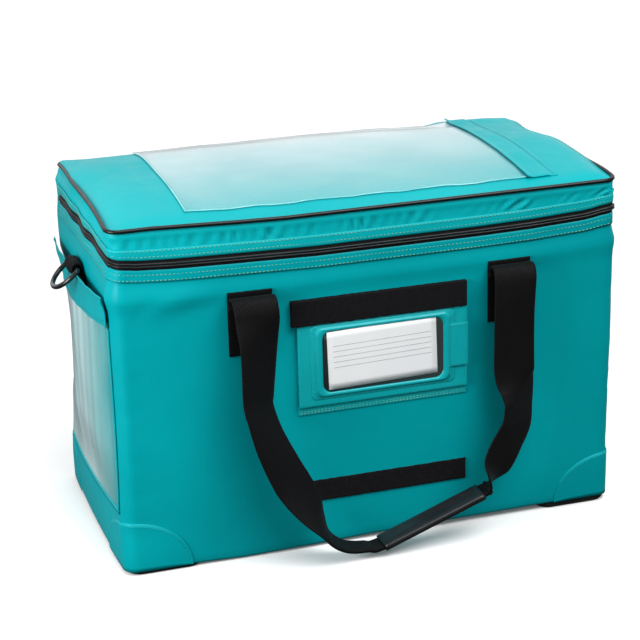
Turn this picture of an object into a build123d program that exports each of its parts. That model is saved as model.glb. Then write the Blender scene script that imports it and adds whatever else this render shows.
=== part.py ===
"""Soft insulated vaccine carrier: a zip-top foam box in coated nylon, with a hinged padded lid,
two webbing carry handles, two D-rings, a fold-down address flap and clear document pockets.

Units are millimetres. The origin is the middle of the footprint on the floor, +Z is up, the
front panel faces -Y and the end with the document pocket faces -X.
"""

import os
from math import cos, radians, sin

from build123d import *

# ---------------------------------------------------------------------------------------------
# Driving dimensions
# ---------------------------------------------------------------------------------------------
# Box
body_length = 464.0
body_depth = 240.0
corner_radius = 10.0
fabric = 1.0  # coated nylon skin
foot_height = 5.0
body_height = 280.0  # underside of the base fabric to the rim
board_thickness = 3.0
wall_foam = 20.0
base_foam = 20.0
lining = 1.0
rim_cover_thickness = 1.0
cavity_radius = 4.0

# Lid
lid_gap = 0.6  # between the rim and the lid's underside
lid_side_height = 30.0  # underside of the lid to its top's front edge
crown_rise = 12.0  # ridge of the lid's arched top above its front edge
piping_radius = 2.2
piping_stand_off = 0.6  # piping's centre outside and above the edge of the lid's top

# Clearances
seat_gap = 0.3  # soft pieces of different bodies
skin_gap = 0.1  # curved pieces of one body
pivot_gap = 0.08  # pin in its eye

# Zip, round the front and both ends
tape_thickness = 0.8
tape_height = 4.7
coil_depth = 2.2
coil_height = 2.05
coil_gap = 0.3  # between the two rows of teeth
facing_thickness = 0.8
body_facing_height = 10.5
lid_facing_height = 9.0
band_back_inset = 20.0  # the zip stops this far short of the back

# Lid's fabric hinge
hinge_strip_length = 400.0
hinge_strip_height = 16.7

# Feet
foot_length = 70.0
foot_depth = 46.0
foot_inset = 0.5
foot_radius = 14.0
foot_bevel = 2.0

# Reinforcing patches on the bottom corners
corner_patch_reach = 50.0
corner_patch_thickness = 0.8

# Features of the front panel, counted from the panel's middle
front_shift = 8.0
flap_shift = 5.0

# Handles
webbing_width = 40.0
webbing_thickness = 2.0
handle_spacing = 240.0
handle_drop = 241.0  # upper fold to the grip's lower end
handle_stand_off = 33.0  # grip's middle from the panel
anchor_height = 57.0
anchor_top = 252.0
anchor_thickness = 2.0
fold_below_top = 1.5
fold_gap = 0.5  # folded webbing to its anchor
folded_webbing_width = 20.0
folded_webbing_thickness = 4.0
grip_width = 25.0
grip_thickness = 8.0
grip_corner = 3.6
grip_gap = 0.2
grip_end_inset = 1.5
strap_lead = 14.0  # flat webbing between the left leg's twist and the grip

# Address flap
flap_width = 161.0
flap_foot = 138.0  # height of the fold line
flap_top = 236.5
flap_thickness = 1.0
hook_height = 21.5
hook_thickness = 1.2
face_hook_thickness = 1.4
lower_loop_foot = 45.0
lower_loop_height = 19.0
lower_loop_thickness = 1.4
seam_height = 7.0
seam_drop = 2.0  # seam strip's top below the fold line
frame_length = 135.0
frame_height = 69.0
frame_foot_gap = 6.5
frame_thickness = 2.2
frame_corner = 5.0
window_length = 113.0
window_height = 57.0
window_corner = 8.0
window_gap = 0.2
backing_thickness = 0.5
card_length = 103.0
card_height = 55.0
card_thickness = 0.5
film_thickness = 0.4
side_tab_height = 40.0
side_tab_thickness = 1.0

# Document pocket on the left end
pocket_half_width = 102.0
pocket_foot = 52.0
pocket_mouth_gap = 0.62  # hem's top edge below the ring tab's eye
pocket_bulge = 6.4
pocket_sheet = 0.8
pocket_welt = 3.0
hem_height = 30.0
hem_thickness = 1.0
hem_overlap = 4.0

# D-rings and their webbing tabs
ring_wire_radius = 2.3
ring_inner_width = 32.0
ring_length = 26.0  # bar centre to bow centre
ring_corner = 3.0
ring_lean = 50.0  # degrees out from hanging straight down
ring_facing_gap = 10.42  # tab's eye to the band under the zip
ring_out = 8.0  # bar centre from the end panel
tab_width = 30.0
tab_thickness = 3.0
tab_length = 31.0  # below the bar
tab_eye_wall = 2.0

# Document pocket on the lid
lid_pocket_left = -160.0
lid_pocket_right = 168.0
lid_pocket_depth = 199.0
lid_pocket_sheet = 0.8
cover_left = 154.0
cover_right = 177.0
cover_depth = 206.0
cover_thickness = 1.2
cover_seam_width = 6.0

# Zip sliders on the right end
slider_length = 13.0
slider_height = 9.0
slider_thickness = 3.0
slider_spacing = 15.0
slider_middle = 57.0
slider_lip = 2.6
slider_bar_radius = 0.9
slider_lug_thickness = 1.6
pull_eye_radius = 2.2
pull_eye_width = 4.4
pull_side_gap = 0.3
pull_width = 8.0
pull_thickness = 1.6
pull_length = 20.0
pull_neck_length = 6.0

# ---------------------------------------------------------------------------------------------
# Places worked out from them
# ---------------------------------------------------------------------------------------------
half_length = body_length / 2
half_depth = body_depth / 2
rim = foot_height + body_height
foam_top = rim - rim_cover_thickness
board_foot = foot_height + fabric
board_top = board_foot + board_thickness
cavity_floor = board_top + base_foam + lining
foam_half_length = half_length - fabric
foam_half_depth = half_depth - fabric
liner_half_length = foam_half_length - wall_foam
liner_half_depth = foam_half_depth - wall_foam
cavity_half_length = liner_half_length - lining
cavity_half_depth = liner_half_depth - lining
lid_foot = rim + lid_gap
lid_edge = lid_foot + lid_side_height
arch_radius = (half_depth**2 + crown_rise**2) / (2 * crown_rise)
split_line = rim + lid_gap / 2

left_strap_x = front_shift - handle_spacing / 2
right_strap_x = front_shift + handle_spacing / 2
fold_out = anchor_thickness + fold_gap + webbing_thickness / 2
fold_height = anchor_top - fold_below_top

hook_out = hook_thickness + seat_gap
panel_out = hook_out + hook_thickness
panel_face = panel_out + flap_thickness
flap_pivot_out = panel_out + flap_thickness / 2
frame_foot = flap_foot + frame_foot_gap
window_middle = frame_foot + frame_height / 2

pull_bar_out = (
    tape_thickness
    + coil_depth
    + seat_gap
    + slider_thickness
    + pull_side_gap
    + pull_eye_radius
)

facing_foot = rim - tape_height - body_facing_height
ring_eye_radius = ring_wire_radius + pivot_gap + tab_eye_wall
ring_height = facing_foot - ring_facing_gap - ring_eye_radius
pocket_mouth = ring_height - ring_eye_radius - pocket_mouth_gap
cover_lift = skin_gap + lid_pocket_sheet + seat_gap

os.makedirs("parts", exist_ok=True)


def save(builder, name):
    """Labels one finished piece and writes it to its own file."""
    builder.part.label = name
    export_step(builder.part, f"parts/{name}.step")


# ---------------------------------------------------------------------------------------------
# Shapes used more than once
# ---------------------------------------------------------------------------------------------
def slab(length, depth, radius, low, high, mode=Mode.ADD):
    """An upright block on the middle of the footprint, with rounded corners."""
    with BuildSketch(Plane.XY.offset(low)) as outline:
        RectangleRounded(length, depth, radius)
    extrude(outline.sketch, amount=high - low, mode=mode)


def block(x_span, y_span, z_span, mode=Mode.ADD):
    """A plain block between two heights."""
    with BuildSketch(Plane.XY.offset(z_span[0])) as outline:
        with Locations((sum(x_span) / 2, sum(y_span) / 2)):
            Rectangle(x_span[1] - x_span[0], y_span[1] - y_span[0])
    extrude(outline.sketch, amount=z_span[1] - z_span[0], mode=mode)


def front_plate(middle, foot, width, height, out, thickness, radius=0.0, mode=Mode.ADD):
    """A plate parallel to the front panel, standing off it by out."""
    with BuildSketch(Plane.XZ.offset(half_depth + out)) as outline:
        with Locations((middle, foot + height / 2)):
            if radius > 0:
                RectangleRounded(width, height, radius)
            else:
                Rectangle(width, height)
    extrude(outline.sketch, amount=thickness, mode=mode)


def wrap_band(low, high, inner, outer):
    """A band round the front and both ends, between two distances out from the panels."""
    slab(body_length + 2 * outer, body_depth + 2 * outer, corner_radius + outer, low, high)
    slab(
        body_length + 2 * inner,
        body_depth + 2 * inner,
        corner_radius + inner,
        low,
        high,
        Mode.SUBTRACT,
    )
    reach = half_length + outer
    block(
        (-reach, reach),
        (half_depth - band_back_inset, half_depth + outer),
        (low, high),
        Mode.SUBTRACT,
    )


def arch(half_span, out):
    """Half of a flat arch's closed outline, bulging out from a straight wall, as a face."""
    with BuildSketch() as face:
        with BuildLine():
            ThreePointArc((0, -half_span), (-out, 0), (0, half_span))
            Line((0, half_span), (0, -half_span))
        make_face()
    return face.sketch


def end_arch(half_span, out, low, high, mode=Mode.ADD):
    """A low arched block on the left end, between two heights."""
    base = Plane((-half_length, 0, low))
    extrude(base * arch(half_span, out), amount=high - low, mode=mode)


def arch_height(y):
    """Height of the lid's arched top at a distance from the middle line."""
    return lid_edge + crown_rise - arch_radius + (arch_radius**2 - y**2) ** 0.5


def crown_form(length, depth, radius, low, lift):
    """The lid's form: an upright block whose top arches from front to back, raised by lift."""
    beyond = half_depth + crown_rise
    side = arch_height(beyond) + lift
    ridge = arch_height(0) + lift
    foot = low - crown_rise
    with BuildPart() as form:
        slab(length, depth, radius, low, ridge + crown_rise)
        with BuildSketch(Plane.YZ) as cross_arch:
            with BuildLine():
                Polyline((-beyond, side), (-beyond, foot), (beyond, foot), (beyond, side))
                ThreePointArc((beyond, side), (0, ridge), (-beyond, side))
            make_face()
        extrude(cross_arch.sketch, amount=length, both=True, mode=Mode.INTERSECT)
    return form.part


def lid_layer(x_span, depth, bottom, thickness):
    """A sheet of the lid's plan that follows the crown, its underside raised by bottom."""
    above = crown_form(
        body_length, body_depth, corner_radius, lid_foot, bottom + thickness
    )
    below = crown_form(body_length, body_depth, corner_radius, lid_foot - 1, bottom)
    with BuildPart() as layer:
        block(x_span, (-depth / 2, depth / 2), (lid_foot, lid_edge + 2 * crown_rise))
        add(above, mode=Mode.INTERSECT)
        add(below, mode=Mode.SUBTRACT)
    return layer.part


# ---------------------------------------------------------------------------------------------
# Case: skin, foam, lining and base
# ---------------------------------------------------------------------------------------------
with BuildPart() as outer_shell:
    slab(body_length, body_depth, corner_radius, foot_height, foam_top)
    slab(
        2 * foam_half_length,
        2 * foam_half_depth,
        corner_radius - fabric,
        board_foot,
        foam_top,
        Mode.SUBTRACT,
    )
save(outer_shell, "outer_shell")

with BuildPart() as base_board:
    slab(
        2 * foam_half_length,
        2 * foam_half_depth,
        corner_radius - fabric,
        board_foot,
        board_top,
    )
save(base_board, "base_board")

with BuildPart() as foam_front:
    block(
        (-foam_half_length, foam_half_length),
        (-foam_half_depth, -liner_half_depth),
        (board_top, foam_top),
    )
    outer_corners = foam_front.edges().filter_by(Axis.Z).group_by(Axis.Y)[0]
    fillet(outer_corners, radius=corner_radius - fabric)
save(foam_front, "foam_front")

with BuildPart() as foam_back:
    add(foam_front.part, rotation=(0, 0, 180))
save(foam_back, "foam_back")

with BuildPart() as foam_left:
    block(
        (-foam_half_length, -liner_half_length),
        (-liner_half_depth, liner_half_depth),
        (board_top, foam_top),
    )
save(foam_left, "foam_left")

with BuildPart() as foam_right:
    add(foam_left.part, rotation=(0, 0, 180))
save(foam_right, "foam_right")

with BuildPart() as foam_base:
    block(
        (-liner_half_length, liner_half_length),
        (-liner_half_depth, liner_half_depth),
        (board_top, board_top + base_foam),
    )
save(foam_base, "foam_base")

with BuildPart() as inner_liner:
    block(
        (-liner_half_length, liner_half_length),
        (-liner_half_depth, liner_half_depth),
        (board_top + base_foam, foam_top),
    )
    slab(
        2 * cavity_half_length,
        2 * cavity_half_depth,
        cavity_radius,
        cavity_floor,
        foam_top,
        Mode.SUBTRACT,
    )
save(inner_liner, "inner_liner")

with BuildPart() as rim_cover:
    slab(body_length, body_depth, corner_radius, foam_top, rim)
    slab(
        2 * cavity_half_length,
        2 * cavity_half_depth,
        cavity_radius,
        foam_top,
        rim,
        Mode.SUBTRACT,
    )
save(rim_cover, "rim_cover")

with BuildPart() as rubber_feet:
    foot_x = half_length - foot_inset - foot_length / 2
    foot_y = half_depth - foot_inset - foot_depth / 2
    with BuildSketch(Plane.XY):
        with GridLocations(2 * foot_x, 2 * foot_y, 2, 2):
            RectangleRounded(foot_length, foot_depth, foot_radius)
    extrude(amount=foot_height)
    chamfer(rubber_feet.faces().group_by(Axis.Z)[0].edges(), length=foot_bevel)
save(rubber_feet, "rubber_feet")

with BuildPart() as corner_balls:
    with Locations(*[
        (x, y, foot_height)
        for x in (-half_length, half_length)
        for y in (-half_depth, half_depth)
    ]):
        Sphere(corner_patch_reach)

with BuildPart() as corner_patches:
    patch_top = foot_height + corner_patch_reach
    slab(
        body_length + 2 * corner_patch_thickness,
        body_depth + 2 * corner_patch_thickness,
        corner_radius + corner_patch_thickness,
        foot_height,
        patch_top,
    )
    slab(body_length, body_depth, corner_radius, foot_height, patch_top, Mode.SUBTRACT)
    add(corner_balls.part, mode=Mode.INTERSECT)
save(corner_patches, "corner_patches")

# ---------------------------------------------------------------------------------------------
# Case: zip side, lid hinge side
# ---------------------------------------------------------------------------------------------
with BuildPart() as case_zip_facing:
    wrap_band(facing_foot, rim - tape_height, 0.0, facing_thickness)
save(case_zip_facing, "case_zip_facing")

with BuildPart() as case_zip_tape:
    wrap_band(rim - tape_height, rim, 0.0, tape_thickness)
save(case_zip_tape, "case_zip_tape")

with BuildPart() as case_zip_coil:
    coil_top = split_line - coil_gap / 2
    wrap_band(
        coil_top - coil_height, coil_top, tape_thickness, tape_thickness + coil_depth
    )
save(case_zip_coil, "case_zip_coil")

with BuildPart() as hinge_strip_lower:
    block(
        (-hinge_strip_length / 2, hinge_strip_length / 2),
        (half_depth, half_depth + fabric),
        (rim - hinge_strip_height, rim),
    )
save(hinge_strip_lower, "hinge_strip_lower")

# ---------------------------------------------------------------------------------------------
# Case: document pocket on the left end
# ---------------------------------------------------------------------------------------------
sheet_foot = pocket_foot + pocket_welt
sheet_top = pocket_mouth - hem_height + hem_overlap
pocket_inner_half = pocket_half_width * (1 - pocket_sheet / pocket_bulge) ** 0.5

with BuildPart() as end_pocket_welt:
    end_arch(pocket_half_width, pocket_bulge, pocket_foot, sheet_foot)
save(end_pocket_welt, "end_pocket_welt")

with BuildPart() as end_pocket_sheet:
    end_arch(pocket_half_width, pocket_bulge, sheet_foot, sheet_top)
    end_arch(
        pocket_inner_half,
        pocket_bulge - pocket_sheet,
        sheet_foot,
        sheet_top,
        Mode.SUBTRACT,
    )
save(end_pocket_sheet, "end_pocket_sheet")

with BuildPart() as end_pocket_hem:
    hem_inner = pocket_bulge + skin_gap
    hem_inner_half = pocket_half_width + skin_gap
    hem_outer = hem_inner + hem_thickness
    hem_outer_half = hem_inner_half * (hem_outer / hem_inner) ** 0.5
    end_arch(hem_outer_half, hem_outer, pocket_mouth - hem_height, pocket_mouth)
    end_arch(
        hem_inner_half,
        hem_inner,
        pocket_mouth - hem_height,
        pocket_mouth,
        Mode.SUBTRACT,
    )
save(end_pocket_hem, "end_pocket_hem")

# ---------------------------------------------------------------------------------------------
# Case: webbing anchors, loop strips and the seam of the address flap
# ---------------------------------------------------------------------------------------------
with BuildPart() as front_anchors:
    for strap_x in (left_strap_x, right_strap_x):
        front_plate(
            strap_x,
            anchor_top - anchor_height,
            webbing_width,
            anchor_height,
            0.0,
            anchor_thickness,
        )
save(front_anchors, "front_anchors")

with BuildPart() as back_anchors:
    add(front_anchors.part, rotation=(0, 0, 180))
save(back_anchors, "back_anchors")

with BuildPart() as upper_loop_strip:
    front_plate(
        flap_shift,
        flap_top - hook_height,
        flap_width,
        hook_height,
        0.0,
        hook_thickness,
    )
save(upper_loop_strip, "upper_loop_strip")

with BuildPart() as lower_loop_strip:
    front_plate(
        flap_shift,
        lower_loop_foot,
        flap_width,
        lower_loop_height,
        0.0,
        lower_loop_thickness,
    )
save(lower_loop_strip, "lower_loop_strip")

with BuildPart() as flap_seam:
    seam_foot = flap_foot - seam_drop - seam_height
    front_plate(flap_shift, seam_foot, flap_width, seam_height, 0.0, flap_thickness)
save(flap_seam, "flap_seam")

# ---------------------------------------------------------------------------------------------
# Case: tabs that hold the D-rings
# ---------------------------------------------------------------------------------------------
ring_pivot = (-half_length - ring_out, 0.0, ring_height)

with BuildPart() as ring_tab_left:
    block(
        (-half_length - tab_thickness, -half_length),
        (-tab_width / 2, tab_width / 2),
        (ring_height - tab_length, ring_height),
    )
    block(
        (ring_pivot[0], -half_length),
        (-tab_width / 2, tab_width / 2),
        (ring_height - ring_eye_radius, ring_height + ring_eye_radius),
    )
    with BuildSketch(Plane.XZ.offset(-tab_width / 2)):
        with Locations((ring_pivot[0], ring_height)):
            Circle(ring_eye_radius)
    extrude(amount=tab_width)
    with BuildSketch(Plane.XZ.offset(-tab_width / 2)):
        with Locations((ring_pivot[0], ring_height)):
            Circle(ring_wire_radius + pivot_gap)
    extrude(amount=tab_width, mode=Mode.SUBTRACT)
save(ring_tab_left, "ring_tab_left")

with BuildPart() as ring_tab_right:
    add(ring_tab_left.part, rotation=(0, 0, 180))
save(ring_tab_right, "ring_tab_right")

with BuildPart() as ring_left:
    lean = radians(ring_lean)
    hang = Vector(-sin(lean), 0, -cos(lean))
    ring_plane = Plane(ring_pivot, x_dir=(0, 1, 0), z_dir=Vector(0, 1, 0).cross(hang))
    bow_radius = ring_inner_width / 2 + ring_wire_radius
    shank = ring_length - bow_radius
    with BuildLine(ring_plane) as ring_path:
        FilletPolyline(
            (0, 0),
            (bow_radius, 0),
            (bow_radius, shank),
            radius=ring_corner,
        )
        ThreePointArc((bow_radius, shank), (0, ring_length), (-bow_radius, shank))
        FilletPolyline(
            (-bow_radius, shank),
            (-bow_radius, 0),
            (0, 0),
            radius=ring_corner,
        )
    with BuildSketch(Plane(ring_pivot, x_dir=(1, 0, 0), z_dir=(0, 1, 0))):
        Circle(ring_wire_radius)
    sweep(path=ring_path.wire())
save(ring_left, "ring_left")

with BuildPart() as ring_right:
    add(ring_left.part, rotation=(0, 0, 180))
save(ring_right, "ring_right")

# ---------------------------------------------------------------------------------------------
# Lid
# ---------------------------------------------------------------------------------------------
lid_outside = crown_form(body_length, body_depth, corner_radius, lid_foot, 0.0)
lid_inside = crown_form(
    2 * foam_half_length, 2 * foam_half_depth, corner_radius - fabric, lid_foot, -fabric
)

with BuildPart() as lid_shell:
    add(lid_outside)
    add(lid_inside, mode=Mode.SUBTRACT)
save(lid_shell, "lid_shell")

with BuildPart() as lid_foam:
    add(lid_inside)
    slab(
        body_length,
        body_depth,
        corner_radius,
        lid_foot,
        lid_foot + lining,
        Mode.SUBTRACT,
    )
save(lid_foam, "lid_foam")

with BuildPart() as lid_liner:
    slab(
        2 * foam_half_length,
        2 * foam_half_depth,
        corner_radius - fabric,
        lid_foot,
        lid_foot + lining,
    )
save(lid_liner, "lid_liner")

lid_clearance_form = crown_form(
    body_length + 2 * skin_gap,
    body_depth + 2 * skin_gap,
    corner_radius + skin_gap,
    lid_foot,
    skin_gap,
)

piping_x = half_length + piping_stand_off
piping_y = half_depth + piping_stand_off
piping_bend_y = half_depth - corner_radius


def piping_height(y):
    """Height of the piping's centre, which follows the arch on the lid's ends."""
    return arch_height(y) + piping_stand_off


def bend_point(turn):
    """A point on the piping round the front right corner, from 0 at the front to 90."""
    bend_radius = corner_radius + piping_stand_off
    y = -piping_bend_y - bend_radius * cos(radians(turn))
    x = half_length - corner_radius + bend_radius * sin(radians(turn))
    return (x, y, piping_height(y))


with BuildPart() as piping_quarter:
    end_slope = piping_bend_y / (arch_radius**2 - piping_bend_y**2) ** 0.5
    with BuildLine() as quarter_path:
        Line((0, -piping_y, piping_height(piping_y)), bend_point(0))
        Spline(
            *[bend_point(turn) for turn in (0, 30, 60, 90)],
            tangents=((1, 0, 0), (0, 1, end_slope)),
        )
        ThreePointArc(
            bend_point(90),
            (piping_x, -piping_bend_y / 2, piping_height(piping_bend_y / 2)),
            (piping_x, 0, piping_height(0)),
        )
    with BuildSketch(Plane.YZ) as piping_section:
        with Locations((-piping_y, piping_height(piping_y))):
            Circle(piping_radius)
    sweep(piping_section.sketch, path=quarter_path.wire())

with BuildPart() as lid_piping:
    add(piping_quarter.part)
    mirror(about=Plane.YZ)
    mirror(about=Plane.XZ)
    add(lid_clearance_form, mode=Mode.SUBTRACT)
save(lid_piping, "lid_piping")

with BuildPart() as lid_zip_tape:
    wrap_band(lid_foot, lid_foot + tape_height, 0.0, tape_thickness)
save(lid_zip_tape, "lid_zip_tape")

with BuildPart() as lid_zip_coil:
    coil_foot = split_line + coil_gap / 2
    wrap_band(
        coil_foot, coil_foot + coil_height, tape_thickness, tape_thickness + coil_depth
    )
save(lid_zip_coil, "lid_zip_coil")

with BuildPart() as lid_zip_facing:
    tape_top = lid_foot + tape_height
    wrap_band(tape_top, tape_top + lid_facing_height, 0.0, facing_thickness)
save(lid_zip_facing, "lid_zip_facing")

with BuildPart() as hinge_strip_upper:
    block(
        (-hinge_strip_length / 2, hinge_strip_length / 2),
        (half_depth, half_depth + fabric),
        (lid_foot, lid_foot + hinge_strip_height),
    )
save(hinge_strip_upper, "hinge_strip_upper")

# ---------------------------------------------------------------------------------------------
# Address flap
# ---------------------------------------------------------------------------------------------
with BuildPart() as flap_panel:
    front_plate(
        flap_shift,
        flap_foot,
        flap_width,
        flap_top - flap_foot,
        panel_out,
        flap_thickness,
    )
    with BuildSketch(Plane.YZ.offset(flap_shift - flap_width / 2)):
        with Locations((-half_depth - flap_pivot_out, flap_foot)):
            Circle(flap_thickness / 2)
    extrude(amount=flap_width)
save(flap_panel, "flap_panel")

with BuildPart() as flap_hook_rear:
    front_plate(
        flap_shift,
        flap_top - hook_height,
        flap_width,
        hook_height,
        hook_out,
        hook_thickness,
    )
save(flap_hook_rear, "flap_hook_rear")

with BuildPart() as flap_hook_front:
    front_plate(
        flap_shift,
        flap_top - hook_height,
        flap_width,
        hook_height,
        panel_face,
        face_hook_thickness,
    )
save(flap_hook_front, "flap_hook_front")

with BuildPart() as flap_frame:
    front_plate(
        front_shift,
        frame_foot,
        frame_length,
        frame_height,
        panel_face,
        frame_thickness,
        frame_corner,
    )
    front_plate(
        front_shift,
        window_middle - window_height / 2,
        window_length,
        window_height,
        panel_face,
        frame_thickness,
        window_corner,
        Mode.SUBTRACT,
    )
save(flap_frame, "flap_frame")


def window_layer(out, thickness):
    """A sheet that fills the frame's window, less a small gap."""
    front_plate(
        front_shift,
        window_middle - window_height / 2 + window_gap,
        window_length - 2 * window_gap,
        window_height - 2 * window_gap,
        out,
        thickness,
        window_corner - window_gap,
    )


with BuildPart() as flap_backing:
    window_layer(panel_face, backing_thickness)
save(flap_backing, "flap_backing")

with BuildPart() as flap_card:
    front_plate(
        front_shift,
        window_middle - card_height / 2,
        card_length,
        card_height,
        panel_face + backing_thickness,
        card_thickness,
    )
save(flap_card, "flap_card")

with BuildPart() as flap_film:
    window_layer(panel_face + backing_thickness + card_thickness, film_thickness)
save(flap_film, "flap_film")

with BuildPart() as flap_side_tab:
    tab_start = front_shift + frame_length / 2 + window_gap
    tab_end = flap_shift + flap_width / 2
    front_plate(
        (tab_start + tab_end) / 2,
        window_middle - side_tab_height / 2,
        tab_end - tab_start,
        side_tab_height,
        panel_face,
        side_tab_thickness,
    )
save(flap_side_tab, "flap_side_tab")

# ---------------------------------------------------------------------------------------------
# Document pocket on the lid, with the cover sewn down along its right edge
# ---------------------------------------------------------------------------------------------
window_part = lid_layer(
    (lid_pocket_left, lid_pocket_right), lid_pocket_depth, skin_gap, lid_pocket_sheet
)
seam_part = lid_layer(
    (cover_right + seat_gap, cover_right + seat_gap + cover_seam_width),
    cover_depth,
    skin_gap,
    cover_thickness,
)
cover_part = lid_layer(
    (cover_left, cover_right), cover_depth, cover_lift, cover_thickness
)

with BuildPart() as lid_window:
    add(window_part)
save(lid_window, "lid_window")

with BuildPart() as lid_cover_seam:
    add(seam_part)
save(lid_cover_seam, "lid_cover_seam")

with BuildPart() as lid_pocket_cover:
    add(cover_part)
save(lid_pocket_cover, "lid_pocket_cover")

# ---------------------------------------------------------------------------------------------
# Carry handles: one webbing strap each, folded in half inside a vinyl grip
# ---------------------------------------------------------------------------------------------
# Along the strap from the left fold to the right one: share of the handles' spacing right of its
# own fold, share of the stand-off, share of the drop, and how many degrees the webbing has turned
# from facing out to facing up
left_leg = [
    (0.0, 0.394, 0.102, 0),
    (0.004, 0.606, 0.247, 22),
    (-0.003, 0.667, 0.413, 34),
    (0.026, 0.727, 0.546, 36),
    (0.087, 0.848, 0.699, 36),
    (0.147, 0.909, 0.803, 45),
    (0.198, 0.970, 0.890, 62),
    (0.246, 1.000, 0.961, 76),
]
right_leg = [
    (-0.108, 0.955, 0.815, 45),
    (-0.086, 0.879, 0.770, 18),
    (-0.051, 0.788, 0.707, 10),
    (-0.005, 0.727, 0.629, 14),
    (0.009, 0.667, 0.558, 20),
    (-0.003, 0.606, 0.429, 4),
    (-0.004, 0.606, 0.251, 2),
    (0.0, 0.394, 0.102, 0),
]
grip_foot_share = (-0.067, 1.0, 1.0)
grip_head_share = (0.342, 1.03, 0.849)
left_fold_share = 0.4  # how far the webbing is folded beside the grip, of its full fold
right_fold_share = 0.3


def strap_point(start_x, station):
    """A station of the strap as a point, counted from a place along the panel."""
    return Vector(
        start_x + station[0] * handle_spacing,
        -half_depth - station[1] * handle_stand_off,
        fold_height - station[2] * handle_drop,
    )


grip_foot = strap_point(front_shift, grip_foot_share)
grip_head = strap_point(front_shift, grip_head_share)
grip_heading = (grip_head - grip_foot).normalized()
left_fold = Vector(left_strap_x, -half_depth - fold_out, fold_height)
right_fold = Vector(right_strap_x, -half_depth - fold_out, fold_height)
lead_point = grip_foot - Vector(strap_lead, 0, 0)
strap_points = (
    [left_fold]
    + [strap_point(left_strap_x, station) for station in left_leg]
    + [lead_point, grip_foot, grip_head]
    + [strap_point(right_strap_x, station) for station in right_leg]
    + [right_fold]
)
strap_turns = (
    [0] + [leg[3] for leg in left_leg] + [90, 90, 90] + [leg[3] for leg in right_leg] + [0]
)
folded_share = (
    [0.0] * len(left_leg)
    + [left_fold_share, 1.0, 1.0, 1.0, right_fold_share]
    + [0.0] * len(right_leg)
)


def strap_plane(index):
    """The plane across the strap at one station, its x axis along the webbing's width."""
    last = len(strap_points) - 1
    behind = strap_points[max(index - 1, 0)]
    ahead = strap_points[min(index + 1, last)]
    if strap_turns[index] == 90:
        heading = grip_heading
    else:
        heading = (ahead - behind).normalized()
    face_on = Vector(0, -1, 0).cross(heading).normalized()
    turn = radians(strap_turns[index])
    width_way = face_on * cos(turn) + Vector(0, 1, 0) * sin(turn)
    return Plane(strap_points[index], x_dir=width_way, z_dir=heading)


with BuildPart() as front_strap:
    for index, share in enumerate(folded_share):
        section_width = webbing_width + share * (folded_webbing_width - webbing_width)
        section_thickness = webbing_thickness + share * (
            folded_webbing_thickness - webbing_thickness
        )
        with BuildSketch(strap_plane(index)):
            Rectangle(section_width, section_thickness)
    loft(ruled=True)
    for strap_x in (left_strap_x, right_strap_x):
        with BuildSketch(Plane.YZ.offset(strap_x - webbing_width / 2)) as fold:
            with Locations((-half_depth - fold_out, fold_height)):
                Circle(webbing_thickness / 2)
        extrude(fold.sketch, amount=webbing_width)
save(front_strap, "front_strap")

with BuildPart() as back_strap:
    add(front_strap.part, rotation=(0, 0, 180))
save(back_strap, "back_strap")

with BuildPart() as front_grip:
    grip_start = grip_foot + grip_heading * grip_end_inset
    grip_length = (grip_head - grip_foot).length - 2 * grip_end_inset
    grip_plane = Plane(grip_start, x_dir=(0, 1, 0), z_dir=grip_heading)
    with BuildSketch(grip_plane):
        RectangleRounded(grip_width, grip_thickness, grip_corner)
        Rectangle(
            folded_webbing_width + 2 * grip_gap,
            folded_webbing_thickness + 2 * grip_gap,
            mode=Mode.SUBTRACT,
        )
    extrude(amount=grip_length)
save(front_grip, "front_grip")

with BuildPart() as back_grip:
    add(front_grip.part, rotation=(0, 0, 180))
save(back_grip, "back_grip")

# ---------------------------------------------------------------------------------------------
# Zip sliders with their pulls, on the right end
# ---------------------------------------------------------------------------------------------
slider_near = half_length + tape_thickness + coil_depth + seat_gap
slider_face = slider_near + slider_thickness
pull_bar_x = half_length + pull_bar_out


def build_slider(middle_y):
    """A slider's plate outside the teeth, the lip under them and the bar for its pull."""
    half = slider_length / 2
    lug_near = pull_eye_width / 2 + pull_side_gap
    lug_far = lug_near + slider_lug_thickness
    lip_top = split_line - coil_gap / 2 - coil_height - seat_gap
    lip_foot = lip_top - slider_lip
    plate_top = split_line + slider_height / 2
    with BuildPart() as slider:
        block((slider_near, slider_face), (middle_y - half, middle_y + half), (lip_foot, plate_top))
        block(
            (half_length + tape_thickness + seat_gap, slider_near),
            (middle_y - half, middle_y + half),
            (lip_foot, lip_top),
        )
        for side in (-1, 1):
            near, far = sorted((side * lug_near, side * lug_far))
            block(
                (slider_face, pull_bar_x),
                (middle_y + near, middle_y + far),
                (split_line - pull_eye_radius, split_line + pull_eye_radius),
            )
            with BuildSketch(Plane.XZ.offset(-middle_y - far)) as lug_end:
                with Locations((pull_bar_x, split_line)):
                    Circle(pull_eye_radius)
            extrude(lug_end.sketch, amount=slider_lug_thickness)
        with BuildSketch(Plane.XZ.offset(-middle_y - lug_far)) as bar:
            with Locations((pull_bar_x, split_line)):
                Circle(slider_bar_radius)
        extrude(bar.sketch, amount=2 * lug_far)
    return slider


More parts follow.
